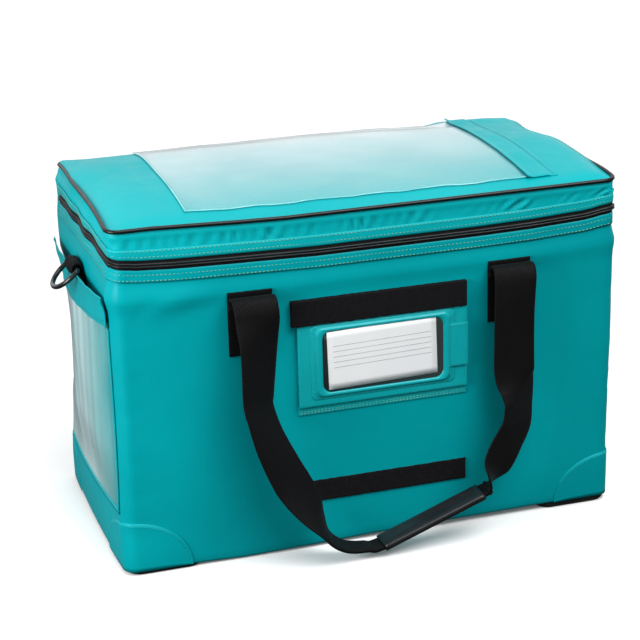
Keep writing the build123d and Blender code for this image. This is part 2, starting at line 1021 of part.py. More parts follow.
def build_pull(middle_y):
    """A flat pull hanging from its slider's bar."""
    blade_top = split_line - pull_neck_length
    blade_foot = split_line - pull_length
    with BuildPart() as pull:
        with BuildSketch(Plane.XZ.offset(-middle_y - pull_eye_width / 2)) as eye:
            with Locations((pull_bar_x, split_line)):
                Circle(pull_eye_radius)
        extrude(eye.sketch, amount=pull_eye_width)
        with BuildSketch(Plane.YZ.offset(pull_bar_x - pull_thickness / 2)) as blade:
            with Locations((middle_y, (split_line + blade_foot) / 2)):
                Rectangle(pull_eye_width, split_line - blade_foot)
            with Locations((middle_y, (blade_top + blade_foot) / 2)):
                RectangleRounded(pull_width, blade_top - blade_foot, pull_width / 3)
        extrude(blade.sketch, amount=pull_thickness)
        with BuildSketch(Plane.XZ.offset(-middle_y - pull_eye_width / 2)) as bore:
            with Locations((pull_bar_x, split_line)):
                Circle(slider_bar_radius + pivot_gap)
        extrude(bore.sketch, amount=pull_eye_width, mode=Mode.SUBTRACT)
    return pull


front_slider_y = slider_middle - slider_spacing / 2
rear_slider_y = slider_middle + slider_spacing / 2
save(build_slider(front_slider_y), "zip_slider_front")
save(build_slider(rear_slider_y), "zip_slider_rear")
save(build_pull(front_slider_y), "zip_pull_front")
save(build_pull(rear_slider_y), "zip_pull_rear")

# Pivot lines, for the assembly's joints
print("lid hinge", half_depth + fabric, split_line)
print("handle fold", -half_depth - fold_out, fold_height)
print("address flap fold", -half_depth - flap_pivot_out, flap_foot)
print("ring bar", ring_pivot)
cover_hinge = lid_edge + crown_rise + cover_lift + cover_thickness / 2
print("lid pocket cover fold", cover_right, cover_hinge)
print("pull bar", pull_bar_x, split_line, front_slider_y, rear_slider_y)
print("cavity", cavity_half_length, cavity_half_depth, cavity_floor, rim)
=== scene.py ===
"""Soft insulated carrier bag, dressed over its CAD frame.

Lengths in the tables and functions below are millimetres; meshes are written in metres.
"""

from math import cos, exp, pi, radians, sin, sqrt, tau

import bpy
from mathutils import Matrix, Vector, noise


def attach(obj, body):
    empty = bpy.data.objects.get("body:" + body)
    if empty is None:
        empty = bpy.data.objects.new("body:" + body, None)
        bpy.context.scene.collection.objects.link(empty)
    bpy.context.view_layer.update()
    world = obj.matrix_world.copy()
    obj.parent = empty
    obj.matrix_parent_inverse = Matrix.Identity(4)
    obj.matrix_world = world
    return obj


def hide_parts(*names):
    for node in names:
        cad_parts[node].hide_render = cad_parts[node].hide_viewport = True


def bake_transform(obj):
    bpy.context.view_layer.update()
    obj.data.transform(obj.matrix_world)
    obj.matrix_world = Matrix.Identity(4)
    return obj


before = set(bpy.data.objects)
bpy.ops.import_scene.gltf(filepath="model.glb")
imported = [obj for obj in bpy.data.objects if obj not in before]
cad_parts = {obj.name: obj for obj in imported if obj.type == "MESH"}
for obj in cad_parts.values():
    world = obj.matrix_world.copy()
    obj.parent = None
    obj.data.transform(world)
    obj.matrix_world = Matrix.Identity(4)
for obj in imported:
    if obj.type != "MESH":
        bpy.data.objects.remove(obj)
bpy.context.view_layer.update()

MM = 0.001

# ---- Sizes taken over from the CAD source ----
HALF_LENGTH, HALF_DEPTH, CORNER = 232, 120, 10
FOOT, BODY_TOP = 5, 284
RIM_TOP, LID_FOOT, LID_EDGE = 285, 285.6, 315.6
ARCH_RADIUS, ARCH_HEIGHT = 606, 12
BAND_BACK = 100  # the zip and its facings end here, short of the hinge
FACING_FOOT, TAPE_FOOT = 269.8, 280.3
LID_TAPE_TOP, LID_FACING_TOP = 290.3, 299.3
FRONT_SHIFT = 8
PANEL_X, STRIP_X = (-71, 87.5), (-76, 87)

# ---- The outline of the case, walked from the middle of the back over the left end ----
STRAIGHT_X, STRAIGHT_Y = HALF_LENGTH - CORNER, HALF_DEPTH - CORNER
BEND = CORNER * pi / 2
LEFT_START = STRAIGHT_X + BEND
FRONT_START = LEFT_START + 2 * STRAIGHT_Y + BEND
RIGHT_START = FRONT_START + 2 * STRAIGHT_X + BEND
BACK_START = RIGHT_START + 2 * STRAIGHT_Y + BEND
AROUND = BACK_START + STRAIGHT_X
BAND_START = LEFT_START + STRAIGHT_Y - BAND_BACK
BAND_END = AROUND - BAND_START


def outline(along):
    """(x, y, normal x, normal y) of the case's outline at a distance along it."""
    along %= AROUND
    straights = (  # start along the outline, length, first point, direction
        (0, STRAIGHT_X, (0, HALF_DEPTH), (-1, 0)),
        (LEFT_START, 2 * STRAIGHT_Y, (-HALF_LENGTH, STRAIGHT_Y), (0, -1)),
        (FRONT_START, 2 * STRAIGHT_X, (-STRAIGHT_X, -HALF_DEPTH), (1, 0)),
        (RIGHT_START, 2 * STRAIGHT_Y, (HALF_LENGTH, -STRAIGHT_Y), (0, 1)),
        (BACK_START, STRAIGHT_X + 1, (STRAIGHT_X, HALF_DEPTH), (-1, 0)),
    )
    for start, length, (x, y), (dx, dy) in straights:
        nx, ny = dy, -dx
        step = along - start
        if step < 0:  # still in the corner that leads to this straight
            turn = step / CORNER
            bent_x, bent_y = nx * cos(turn) - ny * sin(turn), nx * sin(turn) + ny * cos(turn)
            return x + CORNER * (bent_x - nx), y + CORNER * (bent_y - ny), bent_x, bent_y
        if step <= length:
            return x + dx * step, y + dy * step, nx, ny


def along_front(x):
    return FRONT_START + STRAIGHT_X + x


def along_left(y):
    return LEFT_START + STRAIGHT_Y - y


def along_back(x):
    return (-x) % AROUND


def arch_height(y):
    """Height of the lid's vault over a distance from its middle line."""
    drop = ARCH_RADIUS - sqrt(ARCH_RADIUS**2 - min(abs(y), HALF_DEPTH) ** 2)
    return LID_EDGE + ARCH_HEIGHT - drop


# ---- How the cloth departs from the plain box: one shape that every sewn piece follows ----
def ease(low, high, value):
    """0 below low, 1 above high and a smooth step between."""
    share = min(max((value - low) / (high - low), 0), 1)
    return share * share * (3 - 2 * share)


def hill(value, middle, reach):
    """A smooth bump, 1 at the middle and almost 0 one reach away."""
    return exp(-3 * ((value - middle) / reach) ** 2)


def ripple(x, y, z, size):
    """Repeatable noise from -1 to 1 with features of about that size."""
    return noise.noise(Vector((x, y, z)) / size)


def table(pairs, value):
    """The value of a list of (place, height) pairs, drawn straight between them."""
    if value <= pairs[0][0]:
        return pairs[0][1]
    for (x0, y0), (x1, y1) in zip(pairs, pairs[1:]):
        if value <= x1:
            return y0 + (y1 - y0) * (value - x0) / (x1 - x0)
    return pairs[-1][1]


# Along the front, in x: how far the zip has risen or sagged, and the lid's top edge with it.
ZIP_RISE = (
    (-232, 3.8), (-220, 2.2), (-180, 0), (-120, -2), (-50, -4), (100, -4), (150, -3.2),
    (200, -1), (225, 2), (232, 2.6),
)
EDGE_RISE = ((-232, 2), (-195, 2), (-120, -1), (-80, -2.2), (232, -2.2))
# Along the left end, in y: the zip's rise there.
END_RISE = ((-120, 3.8), (-70, 4.6), (70, 5), (108, 4), (119, 0))
# The vault's height over its edges, in x: full at the left and flat at the right.
CROWN = (
    (-232, 3.5), (-222, 6.5), (-206, 10), (-185, 12.5), (-100, 13.5), (0, 12), (100, 9.5),
    (165, 7.5), (232, 6.2),
)
# In x: how far the lid's back half sinks, and how far its very back edge rises.
BACK_DROP = ((-232, -1.5), (-200, 0), (150, 0), (200, 2.5), (232, 5.5))
BACK_LIFT = ((135, 0), (155, 3.4), (232, 3.4))
# In x: how far the base's edge hangs down round the feet.
BASE_SAG = ((-232, 2.2), (-165, 2.4), (-125, 4), (-60, 3), (0, 1.4), (100, 0.4), (150, 0))
# In z: how far the back of the left end is drawn in.
WAIST = (
    (30, 0), (57, 1), (97, 5), (116, 8.5), (155, 11.5), (185, 12.5), (212, 7.5), (238, 0),
    (290, -1.5), (303, -0.5), (315, 4.5),
)


def zip_rise(x, y):
    """The zip's rise beside the nearest walls, fading to none inside them."""
    gaps = (y + HALF_DEPTH, x + HALF_LENGTH, HALF_LENGTH - x)
    shares = [1 - ease(4, 24, gap) for gap in gaps]
    left = table(END_RISE, y) + 0.7 * sin(y / 8) * ease(118, 80, abs(y))
    rises = (table(ZIP_RISE, x), left, 2.6 * ease(-98, -HALF_DEPTH, y))
    total = sum(share * rise for share, rise in zip(shares, rises))
    return total / max(1, sum(shares))


def drift(x, y, z):
    """How far a point of the sewn cloth has moved from its place on the plain box."""
    middle = max(0, 1 - (y / HALF_DEPTH) ** 2)
    vault = max(0, min(1, (z - LID_EDGE) / ARCH_HEIGHT))
    top_rise = table(EDGE_RISE, x) * ease(60, -HALF_DEPTH, y)
    top_rise += (table(CROWN, x) - ARCH_HEIGHT) * vault
    top_rise += table(BACK_LIFT, x) * ease(82, 112, y) - table(BACK_DROP, x) * ease(0, 70, y)
    lid_share = ease(292, 314, z)
    rise = (1 - lid_share) * zip_rise(x, y) + lid_share * top_rise
    rise = rise * ease(238, 275, z) - table(BASE_SAG, x) * ease(30, FOOT, z)
    # the zip pulls the left end in and its foot swells; the lid's ends lean inward
    left_end, right_end = ease(-205, -HALF_LENGTH, x), ease(205, HALF_LENGTH, x)
    pull = 2.6 * hill(z, 287, 22) + 0.9 * hill(z, 286, 22) * sin(y / 11)
    pull += table(WAIST, z) * ease(30, 112, y) + 3.5 * middle * ease(300, 314, z)
    swell = 5 * hill(z, 28, 75) * middle**0.7
    lean = middle * ease(296, 314, z)
    lean -= 2.4 * ease(40, 170, z) * ease(272, 252, z) * ease(-60, -108, y)
    return Vector((left_end * (pull - swell) - right_end * lean, 0, rise))


def wall_swell(along, z):
    """The slight hollows and swellings of the foam-backed walls."""
    x, y, _, _ = outline(along)
    front = y < -100
    level = ease(8, 45, z) * ease(300, 270, z)
    calm = 1 - 0.85 * hill(x, 5, 150) * front
    puff = (1.6 + 1.6 * ease(-132, -165, x) * front) * hill(z, 255, 13)
    if not BAND_START < along < BAND_END:
        puff = 0
    fall = 3 * hill(along, FRONT_START, 75) * level if along > FRONT_START - BEND else 0
    return 0.9 * level * calm * ripple(along, 0, z, 95) + puff - fall


def wall(along, z, out=0):
    """A point on the case's wall, standing out from it, where the cloth really is."""
    x, y, nx, ny = outline(along)
    stand = out + wall_swell(along, z)
    return Vector((x + nx * stand, y + ny * stand, z)) + drift(x, y, z)


def way_out(along, up=0):
    """The direction straight out of the wall, tilted up by that much."""
    return Vector((*outline(along)[2:], up))


def before_front(x, z, out):
    """A point that far before the plane of the front."""
    return Vector((x, -HALF_DEPTH - out, z))


def lid_top(x, y, lift=0):
    """A point over the lid's vault, standing up from it."""
    edge = min(HALF_LENGTH - abs(x), HALF_DEPTH - abs(y))
    padded = ease(0, 22, edge)
    puff = 1.6 * padded + 0.5 * padded * ripple(x, y, 7, 60)
    puff += 2.6 * ease(110, 215, x) * ease(0, 12, edge)
    back = 3 * ease(150, 60, x) * ease(0, 70, y)
    z = arch_height(y) + puff + lift
    return Vector((x, y, z + back)) + drift(x, y, arch_height(y))


# ---- Meshes ----
def piece(name, vertices, faces, uvs=None):
    """A new object from points in millimetres."""
    mesh = bpy.data.meshes.new(name)
    mesh.from_pydata([tuple(Vector(v) * MM) for v in vertices], [], faces)
    layer = mesh.uv_layers.new(name="UVMap")
    for loop in mesh.loops:
        layer.data[loop.index].uv = uvs[loop.vertex_index] if uvs else (0, 0)
    mesh.validate()
    for polygon in mesh.polygons:
        polygon.use_smooth = True
    obj = bpy.data.objects.new(name, mesh)
    bpy.context.scene.collection.objects.link(obj)
    return obj


def grid(name, rows, closed=False, flip=False, uvs=None, cell=(0.01, 0.01)):
    """Rows of points joined by quads, wrapped round if closed; a cell is one step in the uvs."""
    columns, faces = len(rows[0]), []
    for first in range(0, (len(rows) - 1) * columns, columns):
        for column in range(columns if closed else columns - 1):
            here, beside = first + column, first + (column + 1) % columns
            quad = (here, beside, beside + columns, here + columns)
            faces.append(quad[::-1] if flip else quad)
    if uvs is None:
        uvs = [(c * cell[0], r * cell[1]) for r in range(len(rows)) for c in range(columns)]
    return piece(name, [point for row in rows for point in row], faces, uvs)


def surface(name, downs, acrosses, place, **options):
    """A grid whose points are place(across, down)."""
    return grid(name, [[place(a, d) for a in acrosses] for d in downs], **options)


def settle(obj):
    """Writes the piece's modifiers into its mesh."""
    graph = bpy.context.evaluated_depsgraph_get()
    graph.update()
    shaped = bpy.data.meshes.new_from_object(obj.evaluated_get(graph))
    obj.modifiers.clear()
    obj.data = shaped
    return obj


def face_outward(obj):
    """Turns the faces to look away from the bag's middle."""
    middle = Vector((0, 0, 150)) * MM
    outward = sum(p.area * p.normal.dot(p.center - middle) for p in obj.data.polygons)
    if outward < 0:
        obj.data.flip_normals()


def thicken(obj, thickness, offset=-1, bevel=0):
    """Gives a sheet its thickness, inward unless offset says otherwise."""
    face_outward(obj)
    solid = obj.modifiers.new("thickness", "SOLIDIFY")
    solid.thickness, solid.offset = thickness * MM, offset
    solid.use_even_offset = False
    if bevel:
        edge = obj.modifiers.new("edge", "BEVEL")
        edge.width, edge.segments, edge.limit_method = bevel * MM, 2, "ANGLE"
    return settle(obj)


def join(name, parts, outward=False):
    """Several pieces made into one, each turned to face outward first if asked."""
    points, faces, uvs = [], [], []
    for part in parts:
        if outward:
            face_outward(part)
        mesh, base = part.data, len(points)
        points += [v.co / MM for v in mesh.vertices]
        faces += [tuple(base + i for i in p.vertices) for p in mesh.polygons]
        spots = [(0, 0)] * len(mesh.vertices)
        for loop, corner in zip(mesh.loops, mesh.uv_layers[0].data):
            spots[loop.vertex_index] = tuple(corner.uv)
        uvs += spots
        bpy.data.objects.remove(part)
    return piece(name, points, faces, uvs)


def spread(low, high, step):
    """Evenly spaced values from low to high, about a step apart."""
    count = max(2, int(round(abs(high - low) / step)) + 1)
    return [low + (high - low) * i / (count - 1) for i in range(count)]


def all_round(step):
    """Places all round the case's outline, about a step apart."""
    return spread(0, AROUND, step)[:-1]


# ---- Materials ----
def linear(colour):
    """Linear colour from red, green and blue values of 0 to 255."""
    shares = [value / 255 for value in colour]
    return (*(s / 12.92 if s <= 0.04045 else ((s + 0.055) / 1.055) ** 2.4 for s in shares), 1)


class Nodes:
    """The node tree of a material or the world, with the few wirings that they share."""

    def __init__(self, owner):
        owner.use_nodes = True
        self.owner, self.tree = owner, owner.node_tree
        self.place = self.tree.nodes.new("ShaderNodeTexCoord").outputs

    def fill(self, node, inputs):
        """Links or sets a node's inputs."""
        for key, value in inputs.items():
            if isinstance(value, bpy.types.NodeSocket):
                self.tree.links.new(value, node.inputs[key])
            else:
                node.inputs[key].default_value = value
        return node

    def add(self, kind, inputs, **settings):
        node = self.tree.nodes.new(kind)
        for key, value in settings.items():
            setattr(node, key, value)
        return self.fill(node, inputs)

    def noise(self, scale, detail=3):
        inputs = {"Vector": self.place["Object"], "Scale": scale, "Detail": detail}
        return self.add("ShaderNodeTexNoise", inputs).outputs["Fac"]

    def ramp(self, value, low, high, spots=(0.3, 0.7)):
        node = self.add("ShaderNodeValToRGB", {"Fac": value})
        for element, place, colour in zip(node.color_ramp.elements, spots, (low, high)):
            element.position, element.color = place, linear(colour)
        return node.outputs["Color"]

    def span(self, value, low, high, start=0.3, end=0.7, **settings):
        inputs = {"Value": value, "From Min": start, "From Max": end, "To Min": low, "To Max": high}
        return self.add("ShaderNodeMapRange", inputs, **settings).outputs["Result"]

    def waves(self, direction, length, where="Object"):
        inputs = {"Vector": self.place[where], "Scale": tau / (20 * length * MM)}
        return self.add("ShaderNodeTexWave", inputs, bands_direction=direction).outputs["Fac"]

    def mix(self, first, second, share=0.5):
        """A mix of two heights."""
        inputs = {"Factor": share, "A": first, "B": second}
        return self.add("ShaderNodeMix", inputs, data_type="FLOAT").outputs["Result"]

    def sum(self, kind, first, second):
        """Two values combined by that kind of sum."""
        return self.add("ShaderNodeMath", {0: first, 1: second}, operation=kind).outputs[0]

    def bump(self, height, distance, strength=1, **over):
        inputs = {"Height": height, "Distance": distance * MM, "Strength": strength, **over}
        return self.add("ShaderNodeBump", inputs).outputs["Normal"]

    def finish(self, colour, roughness, **others):
        """The finished material; the other inputs are named with _ for each space."""
        inputs = {key.replace("_", " "): value for key, value in others.items()}
        inputs |= {"Base Color": colour, "Roughness": roughness}
        self.fill(self.tree.nodes["Principled BSDF"], inputs)
        return self.owner


def look(name):
    """The nodes of a new material."""
    return Nodes(bpy.data.materials.new(name))


def coated_cloth(name, dark, light, rough=(0.34, 0.46), gloss=0.1):
    """Coated nylon: fine weave, soft creases, a satin sheen."""
    nodes = look(name)
    flat_threads = nodes.mix(nodes.waves("X", 0.9), nodes.waves("Y", 0.9))
    threads = nodes.mix(flat_threads, nodes.waves("Z", 0.9), 0.4)
    creases = nodes.bump(nodes.noise(42), 1.2, 0.18)
    return nodes.finish(
        nodes.ramp(nodes.noise(9, 4), dark, light), nodes.span(nodes.noise(60), *rough),
        Normal=nodes.bump(threads, 0.05, 0.5, Normal=creases), Specular_IOR_Level=gloss,
    )


def webbing_cloth(name, dark, light, rib=1.7):
    """Woven polyester: twill ribs across the strap, from its own coordinates."""
    nodes = look(name)
    weave = nodes.mix(nodes.waves("DIAGONAL", rib, "UV"), nodes.waves("Y", rib * 0.8, "UV"), 0.4)
    fuzz = nodes.bump(nodes.noise(900), 0.15, 0.4)
    return nodes.finish(
        nodes.ramp(weave, dark, light, (0.1, 0.95)), nodes.span(nodes.noise(200), 0.55, 0.75),
        Normal=nodes.bump(weave, 0.35, 0.8, Normal=fuzz),
        Specular_IOR_Level=0.12, Sheen_Weight=0.03, Sheen_Roughness=0.4,
    )


def fuzzy_tape(name, dark, light):
    """Hook-and-loop tape: dense short pile with lint-like variation."""
    nodes = look(name)
    pile = nodes.mix(nodes.noise(1400, 2), nodes.noise(350, 4))
    return nodes.finish(
        nodes.ramp(pile, dark, light), nodes.span(pile, 0.8, 1), Normal=nodes.bump(pile, 0.5),
        Specular_IOR_Level=0.1, Sheen_Weight=0.02, Sheen_Roughness=0.6,
    )


def smooth_plastic(name, dark, light, rough, coat=0, depth=0.12, metallic=0):
    """Moulded, rubber or painted surface with a fine grain and uneven gloss."""
    nodes = look(name)
    return nodes.finish(
        nodes.ramp(nodes.noise(25, 5), dark, light), nodes.span(nodes.noise(90, 4), *rough),
        Normal=nodes.bump(nodes.noise(260, 4), depth, 0.35), Metallic=metallic,
        Specular_IOR_Level=0.3, Coat_Weight=coat, Coat_Roughness=0.12,
    )


def clear_film(name, near, far, clear, glare_opacity, axis, span, coat=0.6):
    """Flexible clear sheet over what lies under it, with a pale painted reflection, the glare of a
    bright surround, that grows stronger towards one side.
    """
    nodes = look(name)
    parts = nodes.add("ShaderNodeSeparateXYZ", {"Vector": nodes.place["Object"]})
    cloud = nodes.span(nodes.noise(11, 2), -0.1, 0.1)
    level = nodes.sum("ADD", nodes.span(parts.outputs[axis], 0, 1, *span), cloud)
    return nodes.finish(
        nodes.ramp(level, near, far, (0, 1)), nodes.span(nodes.noise(40), 0.12, 0.2),
        Alpha=nodes.span(level, clear, glare_opacity, 0, 1),
        Normal=nodes.bump(nodes.noise(22, 2), 2, 0.25), Coat_Weight=coat, Coat_Roughness=0.08,
    )


def foam_block(name, dark, light):
    """Closed-cell foam with visible cells."""
    nodes = look(name)
    inputs = {"Vector": nodes.place["Object"], "Scale": 500}
    cells = nodes.add("ShaderNodeTexVoronoi", inputs).outputs["Distance"]
    return nodes.finish(
        nodes.ramp(nodes.noise(30), dark, light), nodes.span(cells, 0.8, 0.95, 0, 1),
        Normal=nodes.bump(cells, 0.4, 0.6),
    )


SATIN = (0.3, 0.42)
TEAL = coated_cloth("teal_cloth", (0, 153, 161), (0, 161, 169))
# The lid's teal is the case's cloth painted lighter: painted light for the lid, whose top and bands
# catch more light.
TEAL_LID_PAINTED_LIGHTER = coated_cloth("teal_lid_cloth_painted_lighter", (3, 168, 175), (8, 176, 183), gloss=0.12)
TEAL_VINYL = coated_cloth("teal_vinyl", (6, 164, 170), (18, 174, 180), (0.2, 0.32), gloss=0.3)
WEBBING = webbing_cloth("black_webbing", (3, 3, 4), (20, 20, 22))
TAPE = webbing_cloth("zip_tape_cloth", (12, 12, 13), (26, 26, 28), rib=0.9)
FUZZ = fuzzy_tape("hook_and_loop", (7, 7, 9), (26, 26, 29))
TEETH = smooth_plastic("zip_teeth", (22, 24, 26), (40, 42, 44), SATIN, coat=0.1)
PIPING = smooth_plastic("piping_vinyl", (5, 8, 10), (12, 17, 20), SATIN, coat=0.16)
GRIP = smooth_plastic("grip_vinyl", (16, 17, 19), (34, 36, 39), SATIN, coat=0.25)
METAL = smooth_plastic("black_metal", (22, 23, 25), (38, 40, 42), (0.18, 0.3), 0.7, metallic=0.4)
RUBBER = smooth_plastic("foot_rubber", (16, 16, 17), (30, 30, 31), (0.6, 0.8))
LINING = smooth_plastic("white_lining", (222, 225, 227), (238, 240, 241), (0.3, 0.45))
BOARD = smooth_plastic("base_board", (205, 207, 207), (222, 223, 223), (0.5, 0.7))
CARD = smooth_plastic("card_stock", (248, 250, 252), (253, 254, 255), (0.5, 0.65), depth=0.04)
CARD_INK = smooth_plastic("card_ruling", (150, 155, 158), (186, 190, 192), (0.6, 0.8))
BACKING = smooth_plastic("black_backing", (8, 10, 11), (16, 18, 19), (0.35, 0.5))
FOAM = foam_block("white_foam", (226, 227, 222), (240, 240, 236))
# The films' pale tint is painted reflection of the bright backdrop: stronger towards the back on the
# lid and the end pocket, towards the right on the flap.
FILM_TOP = clear_film("clear_lid_film", (128, 220, 224), (220, 238, 244), 0.35, 0.9, "Y", (-0.1, 0.1))
FILM_END = clear_film("clear_end_film", (30, 190, 194), (214, 252, 255), 0.5, 0.92, "Y", (-0.12, 0))
FILM_FLAP = clear_film(
    "clear_flap_film", (170, 205, 205), (200, 220, 220), 0.02, 0.06, "X", (-0.05, 0.07), coat=0.1
)
# Painted highlight: the light colour of the window film's cut edge stands in for its glint.
FILM_EDGE_GLINT = smooth_plastic("film_edge_painted_glint", (84, 196, 200), (150, 226, 228), (0.3, 0.4))
THREAD = smooth_plastic("pale_thread", (52, 160, 156), (150, 200, 148), (0.5, 0.7))
TEAL_THREAD = smooth_plastic("teal_thread", (0, 105, 110), (70, 190, 192), (0.5, 0.7))


def dress(obj, material, slot, body=None, *nodes):
    """A piece's material, the body it rides on and what it replaces; the slot argument is not used.
    """
    obj.data.materials.clear()
    obj.data.materials.append(material)
    if body:
        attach(obj, body)
    if nodes:
        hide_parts(*nodes)
    return obj


# ---- Stitches ----
def stitches(name, path, outward, body, pitch, material=TEAL_THREAD, bold=0.3):
    """Thread dashes along a path; outward is each path point's way up, or one way for all."""
    dash = 0.62  # of the pitch
    ways = [outward] * len(path) if isinstance(outward, Vector) else outward
    points, faces = [], []
    travelled, due = 0, pitch / 2
    for start, end, way in zip(path, path[1:], ways):
        run, up = end - start, way.normalized()
        heading, lift = run.normalized(), up * bold
        side, ahead = heading.cross(up) * bold, heading * (pitch * dash / 2)
        while run.length > 1e-6 and due <= travelled + run.length:
            middle = start + run * ((due - travelled) / run.length)
            tail, head = len(points), len(points) + 1
            points += [middle - ahead, middle + ahead]
            for spine in (middle - ahead / 2, middle + ahead / 2):
                points += [spine + lift, spine + side, spine - lift, spine - side]
            for i in range(4):
                near, near_next = tail + 2 + i, tail + 2 + (i + 1) % 4
                far, far_next = near + 4, near_next + 4
                faces += [(tail, near_next, near), (near, near_next, far_next, far)]
                faces.append((head, far, far_next))
            due += pitch
        travelled += run.length
    return dress(piece(name, points, faces), material, "teal_fabric", body)


# ---- Case: skin, rim and base ----
def corner_crease(along, z):
    """Small pinches in the cloth beside the upright edges and under the front zip."""
    corners = (LEFT_START - BEND / 2, FRONT_START - BEND / 2, RIGHT_START - BEND / 2)
    near = sum(hill(along, corner + 10, 26) for corner in corners)
    fold = max(0, ripple(along * 0.7, z * 1.6, 3, 16))
    # slanting pleats fan out under the band at the front's left, fewer further right
    fan = ease(FRONT_START - 4, FRONT_START + 14, along) * hill(z, 246, 24)
    fan *= 0.25 + 0.75 * hill(along, FRONT_START + 20, 90)
    fan *= ease(along_front(-134), along_front(-150), along)
    pleat = max(0, ripple((z - 0.7 * along) * 1.6, (z + along) * 0.35, 9, 19))
    return 3.6 * fan * pleat - 0.8 * near * fold * ease(250, 200, z)


def build_body_skin():
    steps, edge = all_round(5), 3
    levels = spread(BODY_TOP, FOOT + edge, 5.5)
    rows = [[wall(s, z, corner_crease(s, z)) for s in steps] for z in levels]
    for turn in (30, 60, 90):
        inset, drop = edge * (1 - cos(radians(turn))), edge * (1 - sin(radians(turn)))
        rows.append([wall(s, FOOT + drop, -inset) for s in steps])
    foot_row = rows[-1]
    for share in (0.9, 0.6, 0.3, 0.02):
        rows.append([Vector((p.x * share, p.y * share, FOOT)) for p in foot_row])
    skin = thicken(grid("body_skin", rows, closed=True), 0.9)
    dress(skin, TEAL, "teal_fabric", "case", "outer_shell")


def build_wall_foams():
    """The left, front and back foam panels: outside they follow the cloth, inside they are flat."""
    foot, top, half_x, half_y, step = 9.2, 283.9, 229, 98.9, 8
    inner_x, inner_y = HALF_LENGTH - 21, HALF_DEPTH - 21
    levels, xs = spread(foot, top, step), spread(-half_x, half_x, step)
    lefts = [along_left(y) for y in spread(half_y, -half_y, step)]
    panels = (  # side, places along the outline, inner face, how deep under the cloth
        ("left", lefts, lambda x, y: (-inner_x, y), 1.2),
        ("front", [along_front(x) for x in xs], lambda x, y: (x, -inner_y), 2),
        ("back", [along_back(x) for x in xs], lambda x, y: (x, inner_y), 2),
    )
    for side, places, inner_at, cover in panels:
        rows = []
        for s in places:
            x, y = inner_at(*outline(s)[:2])
            inner = [Vector((x, y, z + drift(x, y, z).z)) for z in reversed(levels)]
            rows.append([wall(s, z, -cover) for z in levels] + inner)
        foam = grid(f"foam_{side}_panel", rows, closed=True)
        dress(foam, FOAM, "foam", "case", f"foam_{side}")


def build_rim():
    """The case's upper face: level with the zip outside, flat at the liner's mouth."""
    mouth_x, mouth_y = 209.5, 97.5
    outer, inner = [wall(s, RIM_TOP) for s in all_round(5)], []
    for point in outer:
        share = max(abs(point.x) / mouth_x, abs(point.y) / mouth_y)
        inner.append(Vector((point.x / share, point.y / share, RIM_TOP)))
    middle = [a.lerp(b, 0.5) for a, b in zip(outer, inner)]
    rim = thicken(grid("rim_skin", [outer, middle, inner], closed=True, flip=True), 1)
    dress(rim, TEAL, "teal_fabric", "case", "rim_cover")


# ---- Zip and its facings ----
def pucker(along, z, low, high, slant, pitch):
    """Diagonal gathers of a sewn band, fading to its two edges."""
    middle = sin(pi * min(max((z - low) / (high - low), 0), 1))
    wander = 9 * ripple(along, 0, 5, 36)
    wave = sin(tau * (along - slant * (z - low) + wander) / pitch)
    return middle * max(0, 0.5 + 1.1 * ripple(along, 9, 0, 28)) * wave


def band(name, node, body, low, high, out, material, slot, gather=lambda s, z: 0):
    """A strip sewn round the front and both ends."""
    steps, levels = spread(BAND_START, BAND_END, 3), spread(high, low, (high - low) / 6)
    uvs = [(s * MM, z * MM) for z in levels for s in steps]
    strip = surface(name, levels, steps, lambda s, z: wall(s, z, out + gather(s, z)), uvs=uvs)
    dress(thicken(strip, min(out + 0.2, 1)), material, slot, body, node)


def build_bands():
    def gathers(low, high, amount, slant, pitch):
        return lambda s, z: amount * abs(pucker(s, z, low, high, slant, pitch))

    band(
        "case_zip_band", "case_zip_facing", "case", FACING_FOOT, TAPE_FOOT + 0.4, 1,
        TEAL, "teal_fabric", gathers(FACING_FOOT, TAPE_FOOT, 0.6, 0.4, 9),
    )
    band("case_tape", "case_zip_tape", "case", TAPE_FOOT - 3, RIM_TOP, 0.7, TAPE, "zip_tape")
    band("lid_tape", "lid_zip_tape", "lid", LID_FOOT, LID_TAPE_TOP + 3, 0.7, TAPE, "zip_tape")
    band(
        "lid_zip_band", "lid_zip_facing", "lid", LID_TAPE_TOP - 0.4, LID_FACING_TOP, 1.3,
        TEAL_LID_PAINTED_LIGHTER, "teal_fabric", gathers(LID_TAPE_TOP, LID_FACING_TOP, 0.7, 0.8, 11),
    )


def coil(name, low, high, body, node):
    """Half of the zip's coil: a row of small ribs on a cord."""
    pitch, depth, foot = 1.6, 2.1, 0.8
    middle, half = (low + high) / 2, (high - low) / 2
    arc, rows = [radians(a) for a in (-90, -45, 0, 45, 90)], []
    for index, s in enumerate(spread(BAND_START, BAND_END, pitch / 2)):
        fat = 1 if index % 2 else 0.72
        rows.append([wall(s, middle + half * fat * sin(a), foot + depth * fat * cos(a)) for a in arc])
    dress(grid(name, rows, flip=True), TEETH, "zip_teeth", body, node)


def build_zip():
    coil("case_coil", 283.1, 285.1, "case", "case_zip_coil")
    coil("lid_coil", 285.5, 287.5, "lid", "lid_zip_coil")
    places = spread(BAND_START, BAND_END, 6)
    ways = [way_out(s) for s in places]
    for body, out, levels in (("case", 1.3, (271.3, 276.3)), ("lid", 1.6, (292.8, 297.8))):
        for index, z in enumerate(levels):
            path = [wall(s, z, out) for s in places]
            stitches(f"{body}_stitches_{index}", path, ways, body, 3.6, THREAD, bold=0.34)


# ---- Lid: padded skin, piping and lining ----
def edge_spacing(count, half, corner):
    """Values from -half to half, close together in the two corner zones."""
    bend = [corner * (1 - cos(radians(a))) for a in (0, 15, 30, 45, 60, 75, 90)]
    inner = spread(-half + corner, half - corner, 2 * (half - corner) / count)
    return [-half + b for b in bend[:-1]] + inner + [half - b for b in reversed(bend[:-1])]


